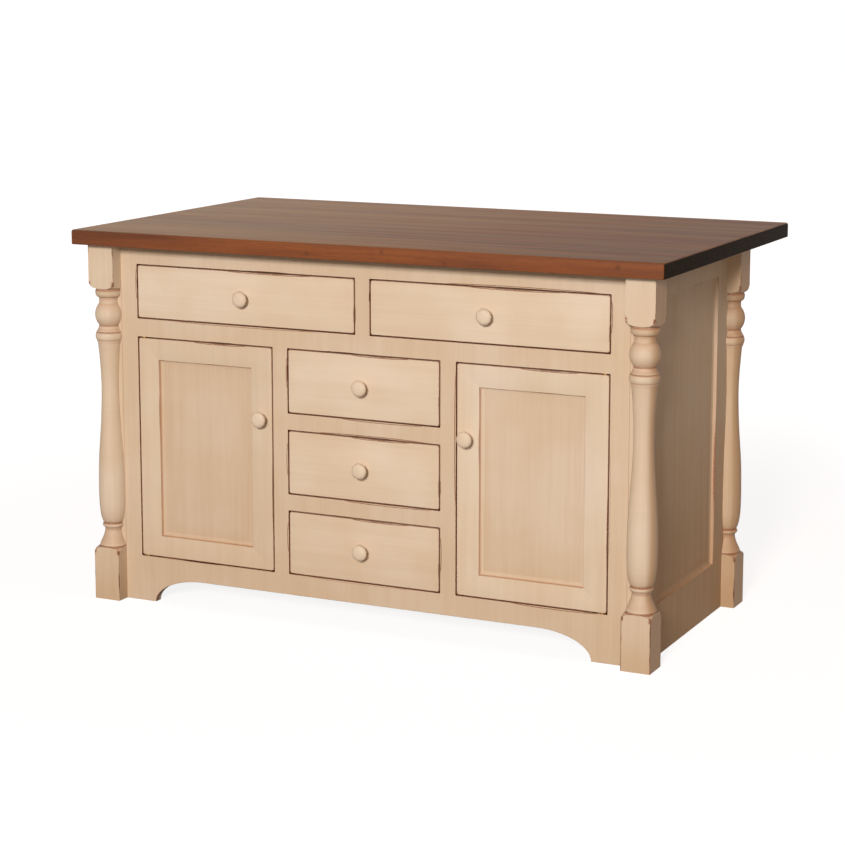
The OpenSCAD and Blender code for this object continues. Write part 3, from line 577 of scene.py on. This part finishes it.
def plywood():
    """Birch plywood with a rotary-cut face, clear lacquered: pale with broad, wavy figure."""
    made, tree = material("birch_plywood")
    figure = pattern(tree, (70, 320, 70), 4, 0.5, 1.6)
    pores = pattern(tree, (1, 14, 1), 2)
    wood = blended(band(figure, 0.35, 0.65), "#E2C99D", "#D5B383")
    wood = blended(band(pores, 0.55, 0.75, 0, 0.25), wood, "#AE8858")
    return surface(made, {"Base Color": wood, "Roughness": 0.5, "IOR": 1.5,
                          "Specular IOR Level": 0.35}, pores, 0.04 * MM)


def brass():
    """Drawn and brushed brass, a little dull: fine scratches along the leaf."""
    return two_toned("brushed_brass", ((30, 0.5, 0.5), 2), ("#C79F58", "#A67F3F"),
                     (0.4, 0.65), 0.02 * MM, Metallic=1, Roughness=(0.28, 0.42))


def zinc_steel():
    """Zinc-plated steel, with the faint spangle and dulling of passivated screws."""
    return two_toned("zinc_plated_steel", ((4, 4, 4), 3, 0.6), ("#C9CACB", "#A5A49F"),
                     (0.4, 0.6), 0.02 * MM, Metallic=1, Roughness=(0.28, 0.4))


def catch_plastic():
    """Moulded brown ABS, with the fine spark-eroded grain of a moulded housing."""
    return two_toned("moulded_brown_abs", ((0.6, 0.6, 0.6), 2), ("#5E4633", "#523C2B"),
                     (0.4, 0.6), 0.05 * MM, Roughness=0.55, IOR=1.53)


# ---- outlines that the glaze follows

FRONT = Face("front", "front_stiles")
FRONT_Y = FRONT.matrix.translation.y
FRONTS = [f"{d}_front" for d in DRAWERS] + [f"{d}_frame" for d in DOORS]
OPENINGS = {n: grown(FRONT.rectangle(n), GAP) for n in FRONTS}
MOULDING_W = 10 * MM
PANEL_IN = 2 * MM  # how far a panel's edge lies inside the moulding's outer line


def recess(face, panel):
    """The outer outline of the moulding round a panel, from the panel's own box."""
    return grown(face.rectangle(panel), PANEL_IN)


def world_rectangle(face, rectangle):
    """A face's rectangle in the object's own X or Y, for a material on Object coordinates."""
    (u0, v0), (u1, v1) = rectangle
    if min(face.u) < 0:
        u0, u1 = -u1, -u0
    return (u0, v0), (u1, v1)


GAP_WEAR = 2.4  # how far the rubbed lens along a front's edge swells, in mm
RECESS_WEAR = 1.8


def outline_rows(face, openings, recesses, wear, margin=0.0):
    """Outlines for glazed_paint: gap openings first, then the edges of the sunk panels.

    The margin is the share of glaze left on a moulding.
    """
    rows = [(*world_rectangle(face, grown(r, -GAP / 2)), GAP / 2 / MM, wear, 0.1)
            for r in openings]
    for r in recesses:
        rows.append((*world_rectangle(face, r), 0.0, wear * 0.6, margin))
        rows.append((*world_rectangle(face, grown(r, -MOULDING_W)), -0.8, 0.2, 0.2))
    return rows


# ---- pieces of the painted case

def coordinates(mesh):
    """The mesh's points as an array of rows (x, y, z)."""
    points = np.empty(len(mesh.vertices) * 3)
    mesh.vertices.foreach_get("co", points)
    return points.reshape(-1, 3)


def merged_copy(source):
    """A node's mesh as one smooth skin, free of its split normals."""
    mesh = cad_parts[source].data.copy()
    mesh.name = f"{source}_made"
    if mesh.has_custom_normals:
        mesh.attributes.remove(mesh.attributes["custom_normal"])
    mesh.materials.clear()
    weld(mesh)
    return mesh


POST_HALF = 35 * MM  # half of a post's square blank
POST_FOLD = (697, -93, 299)  # posts stand at X = +-697 and at Y = -93 +-299, in mm
FRAME_ARRIS = 1 * MM  # how far the sanding has eased the face frame's arrises
FRONT_ARRIS = 1.6 * MM  # the same on drawer fronts and doors
FRONT_CORNER = 4 * MM
SQUARE = 0.05 * MM  # corner radius of an outline that has no rounding to speak of
GROOVE = 5 * MM  # how far from a groove in a post its lips may lie, up or down
HOLLOW = 25 * MM  # the same upwards, for the long waists that keep a film of glaze
KNOB_RIM = 18 * MM  # the last millimetre of a knob's radius is rubbed
BLOCK_CORNER = 48 * MM  # only the corners of a post's square blocks reach this radius
FRAME_T = 22 * MM
FRONT_T = 20 * MM
DOOR_DEEP = 8 * MM  # from a door's face down to its panel
CASE_DEEP = 10 * MM  # the same on the sides and the back

ARCH_END = 578 * MM  # the arch ends in a quarter ellipse at each bracket foot
ARCH_RUN = 136 * MM
ARCH_H = 63 * MM


def make_face_frame():
    (u0, v0), (u1, v1) = FRONT.rectangle("front_stiles")
    turns = [math.radians(90 * i / 16) for i in range(17)]
    right = [(ARCH_END - ARCH_RUN * (1 - math.cos(a)), ARCH_H * math.sin(a)) for a in turns]
    arch = [(-u, v) for u, v in right] + right[::-1]
    outer = [(u0, v0), *arch, (u1, v0), (u1, v1), (u0, v1)]
    openings = [rounded(r, 1.5 * MM, 3) for r in OPENINGS.values()]
    mesh = plate("face_frame", outer, openings, FRAME_T, FRAME_ARRIS)
    mesh.transform(FRONT.matrix)
    rows = outline_rows(FRONT, OPENINGS.values(), [], GAP_WEAR)
    # A dark line where the frame meets the posts: glaze in the joint and painted contact shade.
    at_post, above_all = POST_FOLD[0] * MM - POST_HALF, 2
    rows.append(((-at_post, -above_all), (at_post, above_all), 0.6, 0.3, 0))
    # Its heights paint the worktop's shadow on the top rail, 864 to 889 mm, and shade towards the
    # floor.
    paint = glazed_paint("glazed_paint_face_frame", "front", rows, film=0.3,
                         heights=((60, 420, 0.15, 0), (864, 889, 0, 0.5)))
    finish_piece(linked("face_frame", mesh), "cabinet", paint,
                 ("front_stiles", "front_rails", "front_arched_rail"))


def make_frame(source, body, face, paint, outline, corner, thick, deep, arris, rubbed):
    """A painted frame with a moulding along the outline of its sunk panel."""
    hole, eased = grown(outline, -MOULDING_W), 0.5 * MM
    rings = [*front_rings(face.rectangle(source), corner, thick, arris),
             *moulding_rings(outline, deep, rubbed), (hole, SQUARE, eased - thick, 0.3, 0),
             (grown(hole, eased), SQUARE, -thick, 0.25, 0)]
    piece = joined(f"{source}_made", [loft(rings, "joined")], face.matrix)
    finish_piece(piece, body, paint, [source])


def make_sides():
    for side in SIDES:
        face = Face(side, f"side_frame_{side}")
        sunk = recess(face, f"side_panel_{side}")
        # Its heights darken the sides towards the floor as painted shade.
        paint = glazed_paint(f"glazed_paint_side_{side}", side,
                             outline_rows(face, [], [sunk], RECESS_WEAR), film=0.3,
                             heights=((60, 700, 0.65, 0),))
        make_frame(f"side_frame_{side}", "cabinet", face, paint, sunk, SQUARE, FRAME_T,
                   CASE_DEEP, 0.5 * MM, 0.2)
        give(f"side_panel_{side}", paint)


def give(source, finish):
    """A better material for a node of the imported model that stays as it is."""
    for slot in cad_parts[source].material_slots:
        slot.material = finish


BACK_FLAT = 102 * MM  # width of the back frame's outer stiles
BACK_MULLION = 80 * MM


def make_back():
    face = Face("back", "back_frame")
    (u0, v0), (u1, v1) = face.rectangle("back_frame")
    low, high = [v for _, v in recess(face, "back_panels")]
    wide = (u1 - u0 - 2 * BACK_FLAT - 2 * BACK_MULLION) / 3
    lefts = [u0 + BACK_FLAT + i * (wide + BACK_MULLION) for i in range(3)]
    sunk = [((u, low), (u + wide, high)) for u in lefts]
    # Less glaze film than on the sides: painted light on the dimly lit back.
    paint = glazed_paint("glazed_paint_back", "back",
                         outline_rows(face, [], sunk, RECESS_WEAR), film=0.15)
    corners = [(u0, v0), (u1, v0), (u1, v1), (u0, v1)]
    front = plate("back_front", corners, [rounded(r, SQUARE) for r in sunk], CASE_DEEP,
                  0.4 * MM)
    inner = plate("back_inner", corners,
                  [rounded(grown(r, -MOULDING_W), SQUARE) for r in sunk],
                  FRAME_T - CASE_DEEP, 0.4 * MM)
    inner.transform(Matrix.Translation((0, 0, -CASE_DEEP)))
    mouldings = [loft(moulding_rings(r, CASE_DEEP, 0.2), "open") for r in sunk]
    piece = joined("back_frame_made", [front, inner, *mouldings], face.matrix)
    finish_piece(piece, "cabinet", paint, ["back_frame"])
    give("back_panels", paint)


def make_drawer_fronts():
    for drawer in DRAWERS:
        outer = FRONT.rectangle(f"{drawer}_front")
        mesh = loft(front_rings(outer, FRONT_CORNER, FRONT_T, FRONT_ARRIS), "capped")
        opening = OPENINGS[f"{drawer}_front"]
        paint = glazed_paint(f"glazed_paint_{drawer}", "front",
                             outline_rows(FRONT, [opening], [], GAP_WEAR),
                             grain=(140, 5, 5), film=0.07 if "top" in drawer else 0.12)
        piece = joined(f"{drawer}_front_made", [mesh], FRONT.matrix)
        finish_piece(piece, drawer, paint, [f"{drawer}_front"])


def make_doors():
    for door in DOORS:
        sunk = recess(FRONT, f"{door}_panel")
        rows = outline_rows(FRONT, [OPENINGS[f"{door}_frame"]], [sunk], GAP_WEAR, 0.55)
        paint = glazed_paint(f"glazed_paint_{door}", "front", rows,
                             film=0 if door == "door_right" else 0.14)
        make_frame(f"{door}_frame", door, FRONT, paint, sunk, FRONT_CORNER, FRONT_T,
                   DOOR_DEEP, FRONT_ARRIS, 0.5)
        give(f"{door}_panel", glazed_paint(f"glazed_paint_{door}_panel", "front",
                                           outline_rows(FRONT, [], [sunk], GAP_WEAR),
                                           film=0.26 if door == "door_right" else 0.34))


def near_extremes(levels, widest, reach):
    """The widest radius within reach above each level and below it."""
    above, below = np.zeros(len(levels)), np.zeros(len(levels))
    for i, level in enumerate(levels):
        away = levels - level
        above[i] = widest[(away >= 0) & (away <= reach)].max()
        below[i] = widest[(away <= 0) & (away >= -reach)].max()
    return above, below


def turned_wear(mesh, axis, film):
    """Glaze in the grooves of a turned post, and a film of it all over the turning.

    Returns the heights, in mm, where the turning meets the two square blocks.
    """
    points = coordinates(mesh)
    offset = np.abs(points[:, :2] - (axis.x, axis.y))
    radius = np.hypot(offset[:, 0], offset[:, 1])
    levels, where = np.unique(np.round(points[:, 2], 4), return_inverse=True)
    widest = np.zeros(len(levels))
    np.maximum.at(widest, where, radius)
    above, below = near_extremes(levels, widest, GROOVE)
    groove = np.clip((np.minimum(above, below) - widest) / (1 * MM), 0, 1)
    groove = np.array([groove[np.abs(levels - z) < 1.3 * MM].max() for z in levels])
    step = np.clip((np.maximum(above, below) - widest) / (12 * MM), 0, 0.3)
    turned = offset.max(axis=1) < POST_HALF - 0.05 * MM
    store(mesh, "glaze", np.where(turned, np.maximum(0.45 * groove, 0.6 * step)[where], 0))
    store(mesh, "wear", np.where(turned, np.maximum(0.3 * groove, 1.3 * step)[where], 0))
    hollow = np.clip((near_extremes(levels, widest, HOLLOW)[0] - widest) / (14 * MM), 0, 1)
    store(mesh, "film", np.where(turned, film + 0.5 * hollow[where], film))
    blocks = levels[widest > BLOCK_CORNER]
    middle = points[:, 2].max() / 2
    return blocks[blocks < middle].max() / MM, blocks[blocks > middle].min() / MM


def block_marks(foot_z, head_z):
    """Sanding through on the square blocks of a post, along their arrises and shoulders.

    The third result is painted shade on the post's outward side, laid on as thicker glaze film.
    """

    def marks(tree, grit):
        place = node(tree, "ShaderNodeSeparateXYZ", {0: millimetres(tree)})
        x, middle, y = POST_FOLD
        across = abs(abs(place["X"]) - x)
        deep = abs(abs(place["Y"] - middle) - y)
        arris = across.math("MINIMUM", deep)
        edge = arris + (pattern(tree, (400, 400, 55), 2) * 9 - 3.2)
        dark = band(edge, 35.3, 36.4)
        bare = band(edge, 33.4, 36) * 0.25
        shoulders = [abs(place["Z"] - z) for z in (foot_z, head_z)]
        near = band(shoulders[0].math("MINIMUM", shoulders[1]), 4, 11, 1, 0)
        tip = near * band(arris, 27, 33) * band(grit, 0.35, 0.6, 0.2, 0.8)
        # Painted shade where a post faces outward, laid on as thicker glaze film.
        normal = node(tree, "ShaderNodeTexCoord")["Normal"]
        normal = node(tree, "ShaderNodeSeparateXYZ", {0: normal})
        flank = band(normal["X"] * place["X"].math("SIGN"), 0.5, 0.95, 0, 1.6)
        return dark.math("MAXIMUM", tip), bare, flank
    return marks


def make_posts():
    paint = None
    for end in ("front", "back"):
        for side in SIDES:
            source = f"post_{end}_{side}"
            mesh = merged_copy(source)
            # The back posts carry a thick glaze film as painted shade.
            ends = turned_wear(mesh, middle_of(source), 0.2 if end == "front" else 1.2)
            if paint is None:
                # Its heights darken the feet of the posts towards the floor as painted shade.
                paint = glazed_paint("glazed_paint_turned_post", marks=block_marks(*ends),
                                     heights=((0, 100, 0.25, 0), (60, 300, 0.25, 0)),
                                     rough=0.48, gloss=0.2)
            finish_piece(linked(f"{source}_turned", mesh), "cabinet", paint, [source],
                         30)


def make_knobs():
    paint = glazed_paint("glazed_paint_knob", grain=(12, 12, 12), film=0, heights=(), rough=0.4,
                         gloss=0.2)
    for body in (*DRAWERS, *DOORS):
        source = f"{body}_knob"
        mesh = merged_copy(source)
        middle = middle_of(source)
        points = coordinates(mesh)
        out = FRONT_Y - points[:, 1]
        store(mesh, "glaze", np.interp(out, [0, 0.5 * MM, 1.5 * MM], [0.4, 0.2, 0]))
        radius = np.hypot(points[:, 0] - middle.x, points[:, 2] - middle.z)
        rim = np.clip((radius - KNOB_RIM) / (1 * MM), 0, 1)
        store(mesh, "wear", 0.4 * rim)
        finish_piece(linked(f"{source}_turned", mesh), body, paint, [source],
                     30)


# ---- worktop

def make_worktop():
    """The board as a stack of outlines, each inset to draw the section of its edge."""
    low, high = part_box("worktop")
    outer = ((low.x, low.y), (high.x, high.y))
    thick = high.z - low.z
    plan, round_top, round_under, flat = 8 * MM, 6 * MM, 2 * MM, 3 * MM
    section = [(flat + round_under, 0)]
    section += [(round_under * (1 - math.sin(a)), round_under * (1 - math.cos(a)))
                for a in (math.radians(d) for d in (0, 30, 60, 90))]
    section += [(round_top * (1 - math.cos(a)), thick - round_top * (1 - math.sin(a)))
                for a in (math.radians(d) for d in range(0, 91, 15))]
    section += [(flat + round_top, thick)]
    rings = [(grown(outer, -inset), max(plan - inset, SQUARE), level, 0, 0)
             for inset, level in section]
    mesh = loft(rings, "capped")
    mesh.transform(Matrix.Translation((0, 0, low.z)))
    for polygon in mesh.polygons:
        polygon.material_index = int(abs(polygon.normal.x) > 0.75)
    piece = linked("worktop_made", mesh)
    mesh.materials.append(stained_maple())
    mesh.materials.append(end_grain_with_painted_shade())
    finish_piece(piece, "cabinet", None, ["worktop"])


# ---- bare wood inside

def islands(bm):
    """The faces of each separate board in a mesh, always in the order of the mesh's faces."""
    left = dict.fromkeys(bm.faces)
    while left:
        first = next(iter(left))
        del left[first]
        board, edge = [first], [first]
        while edge:
            for side in edge.pop().edges:
                for face in side.link_faces:
                    if face in left:
                        del left[face]
                        board.append(face)
                        edge.append(face)
        yield board


def dress_boards(source, body, woods, grain=None):
    """Every board of a node with its arrises eased and its grain along its length."""
    mesh = merged_copy(source)
    bm = bmesh.new()
    bm.from_mesh(mesh)
    layer = bm.verts.layers.float.new("board")
    pick = random.Random(source)
    for board in list(islands(bm)):
        points = {v for face in board for v in face.verts}
        spread = [max(v.co[i] for v in points) - min(v.co[i] for v in points)
                  for i in range(3)]
        along = spread.index(max(spread)) if grain is None else grain
        place = pick.uniform(0, 5000)
        for face in board:
            face.material_index = along
        for point in points:
            point[layer] = place
    ease(bm, 0.5 * MM)
    bm.to_mesh(mesh)
    bm.free()
    for wood in woods:
        mesh.materials.append(wood)
    piece = linked(f"{source}_boards", mesh)
    finish_piece(piece, body, None, [source])


def make_inside():
    woods = [bare_maple(axis) for axis in range(3)]
    for source in ("cabinet_floor", "floor_battens", "partitions", "web_frame",
                   "top_drawer_guides", "bank_runners", "drawer_stops", "shelf_battens",
                   "worktop_cleats"):
        dress_boards(source, "cabinet", woods)
    dress_boards("shelves", "cabinet", woods, 0)
    ply = plywood()
    for drawer in DRAWERS:
        dress_boards(f"{drawer}_box", drawer, woods)
        give(f"{drawer}_bottom", ply)


# ---- metal and plastic fittings

def proud_copy(source, body, finish, by=0.12 * MM):
    """A fitting that lies flush in the wood, lifted by a hair so that it shows."""
    mesh = merged_copy(source)
    bm = bmesh.new()
    bm.from_mesh(mesh)
    bm.normal_update()
    moves = [point.normal * by * point.calc_shell_factor() for point in bm.verts]
    for point, move in zip(bm.verts, moves):
        point.co += move
    ease(bm, 0.25 * MM)
    bm.to_mesh(mesh)
    bm.free()
    finish_piece(linked(f"{source}_made", mesh), body, finish, [source])


def island_boxes(source):
    """Lowest and highest corners of each separate solid of a node."""
    bm = bmesh.new()
    bm.from_mesh(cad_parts[source].data)
    bmesh.ops.remove_doubles(bm, verts=bm.verts, dist=0.01 * MM)
    boxes = []
    for solid in list(islands(bm)):
        points = [v.co for face in solid for v in face.verts]
        boxes.append(tuple(Vector([pick(p[i] for p in points) for i in range(3)])
                           for pick in (min, max)))
    bm.free()
    return boxes


def screw_mesh():
    """A cross-recess screw of unit head radius, head up from z = 0, with a short shank."""
    arm, half = 0.52, 0.17
    lean = math.atan2(half, arm)
    angles = [q * math.pi / 2 + a for q in range(4)
              for a in (0, lean, math.pi / 4, math.pi / 2 - lean)]
    cross = [arm, math.hypot(arm, half), half * math.sqrt(2), math.hypot(arm, half)] * 4

    def ring(radii, z):
        return [(r * math.cos(a), r * math.sin(a), z) for a, r in zip(angles, radii)]

    rings = [ring([0.4] * 16, -2.4), ring([0.45] * 16, 0), ring([0.96] * 16, 0),
             ring([1] * 16, 0.08), ring([0.97] * 16, 0.2), ring([0.8] * 16, 0.42),
             ring(cross, 0.5), ring([r * 0.7 for r in cross], 0.12)]
    points = [p for row in rings for p in row]
    faces = [(r * 16 + i, r * 16 + (i + 1) % 16, r * 16 + 16 + (i + 1) % 16, r * 16 + 16 + i)
             for r in range(len(rings) - 1) for i in range(16)]
    faces += [tuple(reversed(range(16))), tuple(range(16 * 7, 16 * 8))]
    return mesh_of("screw", points, faces)


def screw_tree():
    """Sets a screw on every point, facing its way, each stopped at its own turn."""
    tree = bpy.data.node_groups.new("screws", "GeometryNodeTree")
    add_sockets(tree, "INPUT", Geometry="Geometry", Screw="Object", Metal="Material",
                Seed="Int")
    add_sockets(tree, "OUTPUT", Geometry="Geometry")
    given = node(tree, "NodeGroupInput")
    way = node(tree, "GeometryNodeInputNamedAttribute", {"Name": "way"},
               data_type="FLOAT_VECTOR")["Attribute"]
    size = node(tree, "GeometryNodeInputNamedAttribute", {"Name": "size"},
                data_type="FLOAT")["Attribute"]
    facing = node(tree, "FunctionNodeAlignRotationToVector", {"Vector": way}, axis="Z")
    angle = node(tree, "FunctionNodeRandomValue", {2: 0.0, 3: math.tau, 8: given["Seed"]},
                 data_type="FLOAT")[1]
    turn = node(tree, "ShaderNodeCombineXYZ", {2: angle})
    turned = node(tree, "FunctionNodeRotateRotation", {0: facing, 1: turn},
                  rotation_space="LOCAL")
    shape = node(tree, "GeometryNodeObjectInfo", {"Object": given["Screw"]})
    set_out = node(tree, "GeometryNodeInstanceOnPoints",
                   {"Points": given["Geometry"], "Instance": shape["Geometry"],
                    "Rotation": turned, "Scale": size})
    real = node(tree, "GeometryNodeRealizeInstances", {0: set_out})
    metal = node(tree, "GeometryNodeSetMaterial",
                 {"Geometry": real, "Material": given["Metal"]})
    node(tree, "NodeGroupOutput", {0: metal})
    return tree


def drive_screws(tree, shape, metal, body, seats, replaces=()):
    """Screws of one body; each seat is (place, way, head radius)."""
    points = mesh_of(f"{body}_screw_places", [seat[0] for seat in seats])
    way = points.attributes.new("way", "FLOAT_VECTOR", "POINT")
    way.data.foreach_set("vector", [x for seat in seats for x in seat[1]])
    store(points, "size", [seat[2] for seat in seats])
    holder = linked(f"{body}_screw_holder", points)
    modifier = holder.modifiers.new("screws", "NODES")
    modifier.node_group = tree
    sockets = {item.name: item.identifier for item in tree.interface.items_tree
               if item.item_type == "SOCKET" and item.in_out == "INPUT"}
    modifier[sockets["Screw"]] = shape
    modifier[sockets["Metal"]] = metal
    modifier[sockets["Seed"]] = 7
    bpy.context.view_layer.update()
    made = bpy.data.meshes.new_from_object(
        holder.evaluated_get(bpy.context.evaluated_depsgraph_get()))
    bpy.data.objects.remove(holder)
    finish_piece(linked(f"{body}_screws", made), body, None, replaces, 35)


def plate_screws():
    """Two countersunk screws in each hinge plate, on the side that its leaf turns on."""
    middle = middle_of("hinge_plates").z
    seats = []
    for low, high in island_boxes("hinge_plates"):
        if high.x - low.x > 20 * MM:
            z, way = (high.z, 1) if low.z < middle else (low.z, -1)
            seats += [((low.x + (high.x - low.x) * share, (low.y + high.y) / 2, z),
                       (0, 0, way), 2.6 * MM) for share in (0.18, 0.62)]
    return seats


def make_fittings():
    metal, yellow, moulded = zinc_steel(), brass(), catch_plastic()
    tree, shape = screw_tree(), bpy.data.objects.new("screw_shape", screw_mesh())
    proud_copy("hinge_plates", "cabinet", yellow)
    proud_copy("door_catches", "cabinet", moulded, 0.02 * MM)

    seats = plate_screws()
    seats += [(((low.x + high.x) / 2, (low.y + high.y) / 2, low.z), (0, 0, -1), 4.4 * MM)
              for low, high in island_boxes("worktop_screws")]
    drive_screws(tree, shape, metal, "cabinet", seats, ["worktop_screws"])
    for door in DOORS:
        proud_copy(f"{door}_hinges", door, yellow)
        proud_copy(f"{door}_strike", door, metal, 0.02 * MM)
        low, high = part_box(f"{door}_strike")
        knob = middle_of(f"{door}_knob")
        inner_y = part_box(f"{door}_frame")[1].y
        seats = [(((low.x + high.x) / 2, high.y, z), (0, 1, 0), 1.8 * MM)
                 for z in (low.z + 6 * MM, high.z - 6 * MM)]
        seats.append(((knob.x, inner_y, knob.z), (0, 1, 0), 4 * MM))
        drive_screws(tree, shape, metal, door, seats)
    for drawer in DRAWERS:
        low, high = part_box(f"{drawer}_box")
        knob = middle_of(f"{drawer}_knob")
        inner_y = low.y + 12 * MM
        seats = [((knob.x, inner_y, knob.z), (0, 1, 0), 4 * MM)]
        seats += [((low.x + (high.x - low.x) * across, inner_y, low.z + (high.z - low.z) * up),
                   (0, 1, 0), 3.4 * MM) for across in (0.12, 0.88) for up in (0.3, 0.75)]
        drive_screws(tree, shape, metal, drawer, seats)


# ---- studio

KEY_POWER = 1090
FILL_POWER = 110
KEY_TINT = "#FFF6F1"
AMBIENT = 0.5
AMBIENT_TINT = "#FFDFCA"
BEHIND = 2.3  # how much stronger the ambient light is from straight behind


def shows_white(tree):
    """1 where the camera, a gloss or a glass sees the background, and 0 where it gives light."""
    ray = node(tree, "ShaderNodeLightPath")
    reflected = ray["Is Glossy Ray"].math("MAXIMUM", ray["Is Transmission Ray"])
    return ray["Is Camera Ray"].math("MAXIMUM", reflected)


def make_world():
    world = bpy.data.worlds.new("white studio")
    bpy.context.scene.world = world
    world.use_nodes = True
    tree = world.node_tree
    tree.nodes.clear()
    way = node(tree, "ShaderNodeSeparateXYZ", {0: node(tree, "ShaderNodeTexCoord")["Generated"]})
    level = band(way["Z"], 0, 1, AMBIENT, 0.12 * AMBIENT)
    level = level * band(way["Y"], 0.25, 0.9, 1, BEHIND)
    dim = node(tree, "ShaderNodeBackground", {0: AMBIENT_TINT, 1: level})
    white = node(tree, "ShaderNodeBackground", {0: (1, 1, 1, 1), 1: 1.0})
    mixed = node(tree, "ShaderNodeMixShader", {0: shows_white(tree), 1: dim, 2: white})
    node(tree, "ShaderNodeOutputWorld", {0: mixed})


def make_floor():
    """A white floor that the camera sees nearly blown out, with a pale shadow left on it.

    Under the object it glows a little less, and it gives the object only a weak, even light.
    """
    reach = 30
    mesh = mesh_of("floor", [(-reach, -reach, 0), (reach, -reach, 0), (reach, reach, 0),
                             (-reach, reach, 0)], [(0, 1, 2, 3)])
    floor = linked("floor", mesh)
    made, tree = material("white_studio_floor")
    away = node(tree, "ShaderNodeVectorMath", {0: node(tree, "ShaderNodeTexCoord")["Object"]},
                operation="LENGTH")["Value"]
    glow = band(away, 1.2, 3.5, 0.86, 1)
    lit = node(tree, "ShaderNodeBsdfDiffuse", {0: (0.3, 0.3, 0.3, 1)})
    shining = node(tree, "ShaderNodeEmission", {0: (1, 1, 1, 1), 1: glow})
    shown = node(tree, "ShaderNodeAddShader", {0: lit, 1: shining})
    unseen = node(tree, "ShaderNodeBsdfDiffuse", {0: (0.15, 0.15, 0.15, 1)})
    mixed = node(tree, "ShaderNodeMixShader", {0: shows_white(tree), 1: unseen, 2: shown})
    node(tree, "ShaderNodeOutputMaterial", {"Surface": mixed})
    mesh.materials.append(made)


def area_light(name, azimuth, elevation, distance, size, power, tint):
    """A soft light that looks at the middle of the case; azimuth 0 is straight in front."""
    data = bpy.data.lights.new(name, "AREA")
    data.size, data.energy, data.color = size, power, colour(tint)[:3]
    a, e = math.radians(azimuth), math.radians(elevation)
    away = Vector((math.sin(a) * math.cos(e), -math.cos(a) * math.cos(e), math.sin(e)))
    light = bpy.data.objects.new(name, data)
    light.location = Vector((0, 0, 0.5)) + away * distance
    light.rotation_euler = away.to_track_quat("Z", "Y").to_euler()
    bpy.context.scene.collection.objects.link(light)


def make_camera():
    """The photograph's camera, fitted to its corners, less most of the vertical shift."""
    data = bpy.data.cameras.new("camera")
    data.sensor_width = 36
    data.lens = 96.6
    data.shift_y = -0.1
    camera = bpy.data.objects.new("camera", data)
    camera.location = (2.383, -5.016, 1.531)
    camera.rotation_euler = (math.radians(90 - 9.06), 0, math.radians(25.72))
    bpy.context.scene.collection.objects.link(camera)
    bpy.context.scene.camera = camera


make_camera()
make_world()
make_floor()
area_light("key", 12, 19, 12, 1.9, KEY_POWER, KEY_TINT)
area_light("fill", 24, 5, 12, 3, FILL_POWER, KEY_TINT)
make_worktop()
make_posts()
make_face_frame()
make_sides()
make_back()
make_drawer_fronts()
make_doors()
make_knobs()
make_inside()
make_fittings()
bpy.context.scene.view_settings.view_transform = "Standard"
